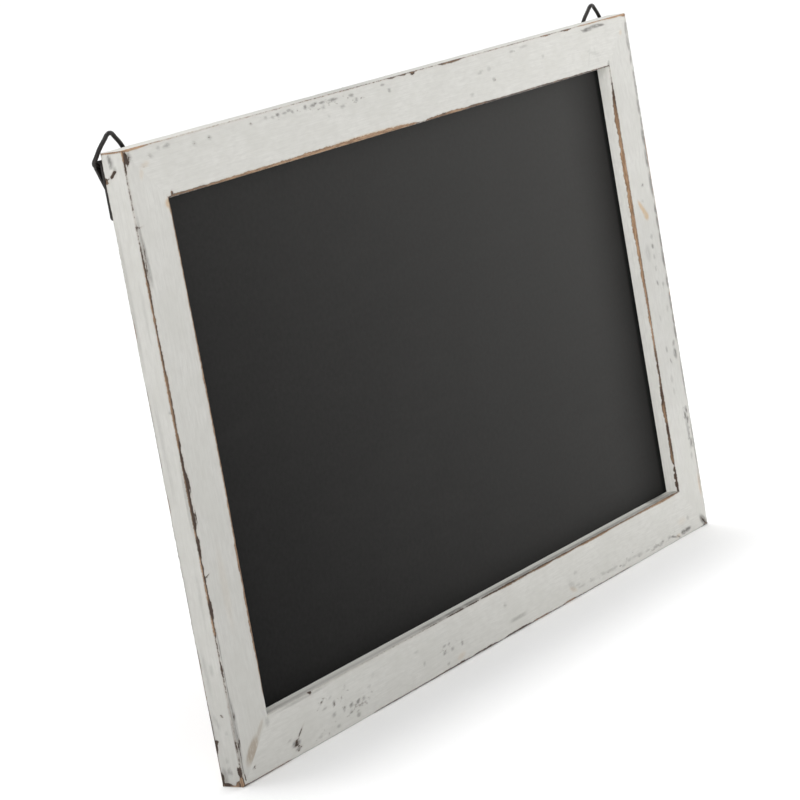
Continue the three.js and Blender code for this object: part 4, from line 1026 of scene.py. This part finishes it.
def screw_mesh(name):
    """A pan-head screw along Y with its seat at the origin, its head towards the wall, and a crossed recess."""
    root = SCREW_SHANK - THREAD_DEPTH
    outline = [(0.0, -SCREW_LENGTH), (0.35, -SCREW_LENGTH + 0.7), (SCREW_SHANK - 0.3, -SCREW_LENGTH + SCREW_TIP)]
    for k in range(THREAD_TURNS):
        y = -SCREW_LENGTH + SCREW_TIP + 0.3 + k * THREAD_PITCH
        outline += [(root, y), (SCREW_SHANK, y + 0.22), (root, y + 0.44)]
    outline += [(SCREW_SHANK - 0.2, 0.0), (SCREW_HEAD_RADIUS - SCREW_EASE, 0.0), (SCREW_HEAD_RADIUS, SCREW_EASE)]
    outline += [(SCREW_HEAD_RADIUS, SCREW_RIM - 0.1)]
    for t in np.linspace(0, math.pi / 2, 9)[:-1]:
        rise = (SCREW_HEAD_HEIGHT - SCREW_RIM) * math.sin(t) ** 0.9
        outline.append((0.6 + (SCREW_HEAD_RADIUS - 0.6) * math.cos(t), SCREW_RIM + rise))
    outline.append((0.0, SCREW_HEAD_HEIGHT))
    turns = np.linspace(0, 2 * math.pi, SCREW_SIDES, endpoint=False)
    points, faces = [(0.0, outline[0][1], 0.0)], []
    for r, y in outline[1:-1]:
        points += [(r * math.cos(t), y, r * math.sin(t)) for t in turns]
    points.append((0.0, outline[-1][1], 0.0))
    rows = len(outline) - 2
    for j in range(SCREW_SIDES):
        k = (j + 1) % SCREW_SIDES
        faces.append((0, 1 + j, 1 + k))
        faces.append((len(points) - 1, 1 + (rows - 1) * SCREW_SIDES + k, 1 + (rows - 1) * SCREW_SIDES + j))
        for i in range(rows - 1):
            a, b = 1 + i * SCREW_SIDES, 1 + (i + 1) * SCREW_SIDES
            faces.append((a + j, b + j, b + k, a + k))
    made = new_object(name, mesh_from(name, np.array(points) * MM, faces))
    for turn in (0, 90):
        cut_away(made, "cross", cross_arm(turn))
    shade(made, 35)
    mesh = made.data
    bpy.data.objects.remove(made)
    return mesh


def cross_arm(turn):
    """One arm of the crossed recess, narrower at its floor."""
    floor_y, top_y = SCREW_HEAD_HEIGHT - CROSS_DEEP, SCREW_HEAD_HEIGHT + CROSS_OVER
    c, s = math.cos(math.radians(turn)), math.sin(math.radians(turn))
    points = []
    for y, long, across in (
        (floor_y, CROSS_HALF * 0.55, CROSS_WIDE * 0.7),
        (top_y, CROSS_HALF * 1.12, CROSS_WIDE * 1.1),
    ):
        for u, v in ((-long, -across), (long, -across), (long, across), (-long, across)):
            points.append(((u * c - v * s) * MM, y * MM, (u * s + v * c) * MM))
    sides, caps = tube_faces(2, 4)
    return mesh_from("cross", points, caps + sides)


screw = screw_mesh("hanger_screw")
for side, centre in HANGERS.items():
    ring = new_object(f"{side}_ring_wire", ring_mesh(f"{side}_ring_wire", centre))
    shade(ring, 50)
    dressed(ring, BLACK, f"{side}_ring", f"{side}_hanger_ring")
    plate = softened(f"{side}_plate", f"{side}_hanger_plate", 0.22)
    dressed(plate, BLACK, "frame", f"{side}_hanger_plate")
    for number, spot_x in enumerate(SCREW_SPOTS, 1):
        mesh = screw.copy()
        seat = Vector((centre + spot_x, PLATE_FRONT + PLATE_METAL + 0.3, SCREW_Z)) * MM
        turn = math.radians(23 + 31 * number + (17 if side == "left" else 0))  # no two crosses stand alike
        mesh.transform(Matrix.Translation(seat) @ Matrix.Rotation(turn, 4, "Y"))
        made = new_object(f"{side}_screw_{number}", mesh)
        dressed(made, BLACK, "frame", f"{side}_hanger_screw_{number}")

SOFT_EDGES = {"v_nail": 0.08, "framing_point": 0.1}  # how far the small steel pieces' edges are rounded
for node in list(nodes):
    for kind, width in SOFT_EDGES.items():
        if node.startswith(kind):
            dressed(softened("steel_" + node, node, width), STEEL, "frame", node)


# ---------------------------------------------------------------- floor, light and camera
FLOOR_HALF = 120  # metres: it runs on to the horizon
corners = [(x * FLOOR_HALF, y * FLOOR_HALF, 0) for x, y in ((-1, -1), (1, -1), (1, 1), (-1, 1))]
floor = new_object("floor", mesh_from("floor", corners, [(0, 1, 2, 3)]))
floor.location = (0, 0, BOTTOM * MM)
give(floor, floor_paper())


def white_surroundings():
    """A pale studio all round: bright near the horizon, dimmer overhead, where the lamps do the work."""
    world = bpy.data.worlds.new("white_surroundings")
    world.use_nodes = True
    tree = world.node_tree
    direction = tree.nodes.new("ShaderNodeTexCoord")
    parts = tree.nodes.new("ShaderNodeSeparateXYZ")
    ramp = tree.nodes.new("ShaderNodeMapRange")
    ramp.interpolation_type = "SMOOTHSTEP"
    for name, value in (("From Min", 0.15), ("From Max", 0.36), ("To Min", 1.0), ("To Max", 0.14)):
        ramp.inputs[name].default_value = value
    tree.links.new(direction.outputs["Generated"], parts.inputs[0])
    tree.links.new(parts.outputs["Z"], ramp.inputs["Value"])
    tree.links.new(ramp.outputs[0], tree.nodes["Background"].inputs["Strength"])
    tree.nodes["Background"].inputs["Color"].default_value = (1, 1, 1, 1)
    bpy.context.scene.world = world


def soft_lamp(name, kind, power, spread, toward, at=(0, 0, 0)):
    """A SUN whose light comes from the direction toward and spreads over spread degrees, or a round AREA of
    spread metres at a place, aimed at the point toward."""
    data = bpy.data.lights.new(name, kind)
    data.energy = power
    if kind == "SUN":
        data.angle = math.radians(spread)
        aim = -Vector(toward)
    else:
        data.shape, data.size = "DISK", spread
        aim = Vector(toward) - Vector(at)
    made = bpy.data.objects.new(name, data)
    bpy.context.scene.collection.objects.link(made)
    made.location = at
    made.rotation_euler = aim.to_track_quat("-Z", "Y").to_euler()


white_surroundings()
soft_lamp("overhead", "SUN", 2.2, 24, (0.05, 0.145, 1.0))
soft_lamp("window", "SUN", 1.12, 60, (-0.7, -0.55, 0.45))
soft_lamp("left_side", "SUN", 0.68, 60, (-0.92, -0.2, 0.2))
soft_lamp("right_high", "AREA", 6.0, 0.9, (0.1, 0, 0.2), (1.3, -0.5, 1.6))
soft_lamp("right_near", "AREA", 3.5, 0.8, (0.1, 0, 0.2), (1.5, -0.8, 0.9))

camera_data = bpy.data.cameras.new("camera")
camera_data.sensor_width = 36
camera_data.lens = 134.584
camera_data.clip_start, camera_data.clip_end = 0.1, 50
camera = bpy.data.objects.new("camera", camera_data)
bpy.context.scene.collection.objects.link(camera)
camera.location = (-1.681464, -1.202455, 0.522527)
camera.rotation_mode = "QUATERNION"
camera.rotation_quaternion = (0.64914873, 0.59836717, -0.23880752, -0.40439292)
bpy.context.scene.camera = camera
bpy.context.scene.view_settings.view_transform = "Standard"
bpy.context.scene.view_settings.look = "None"
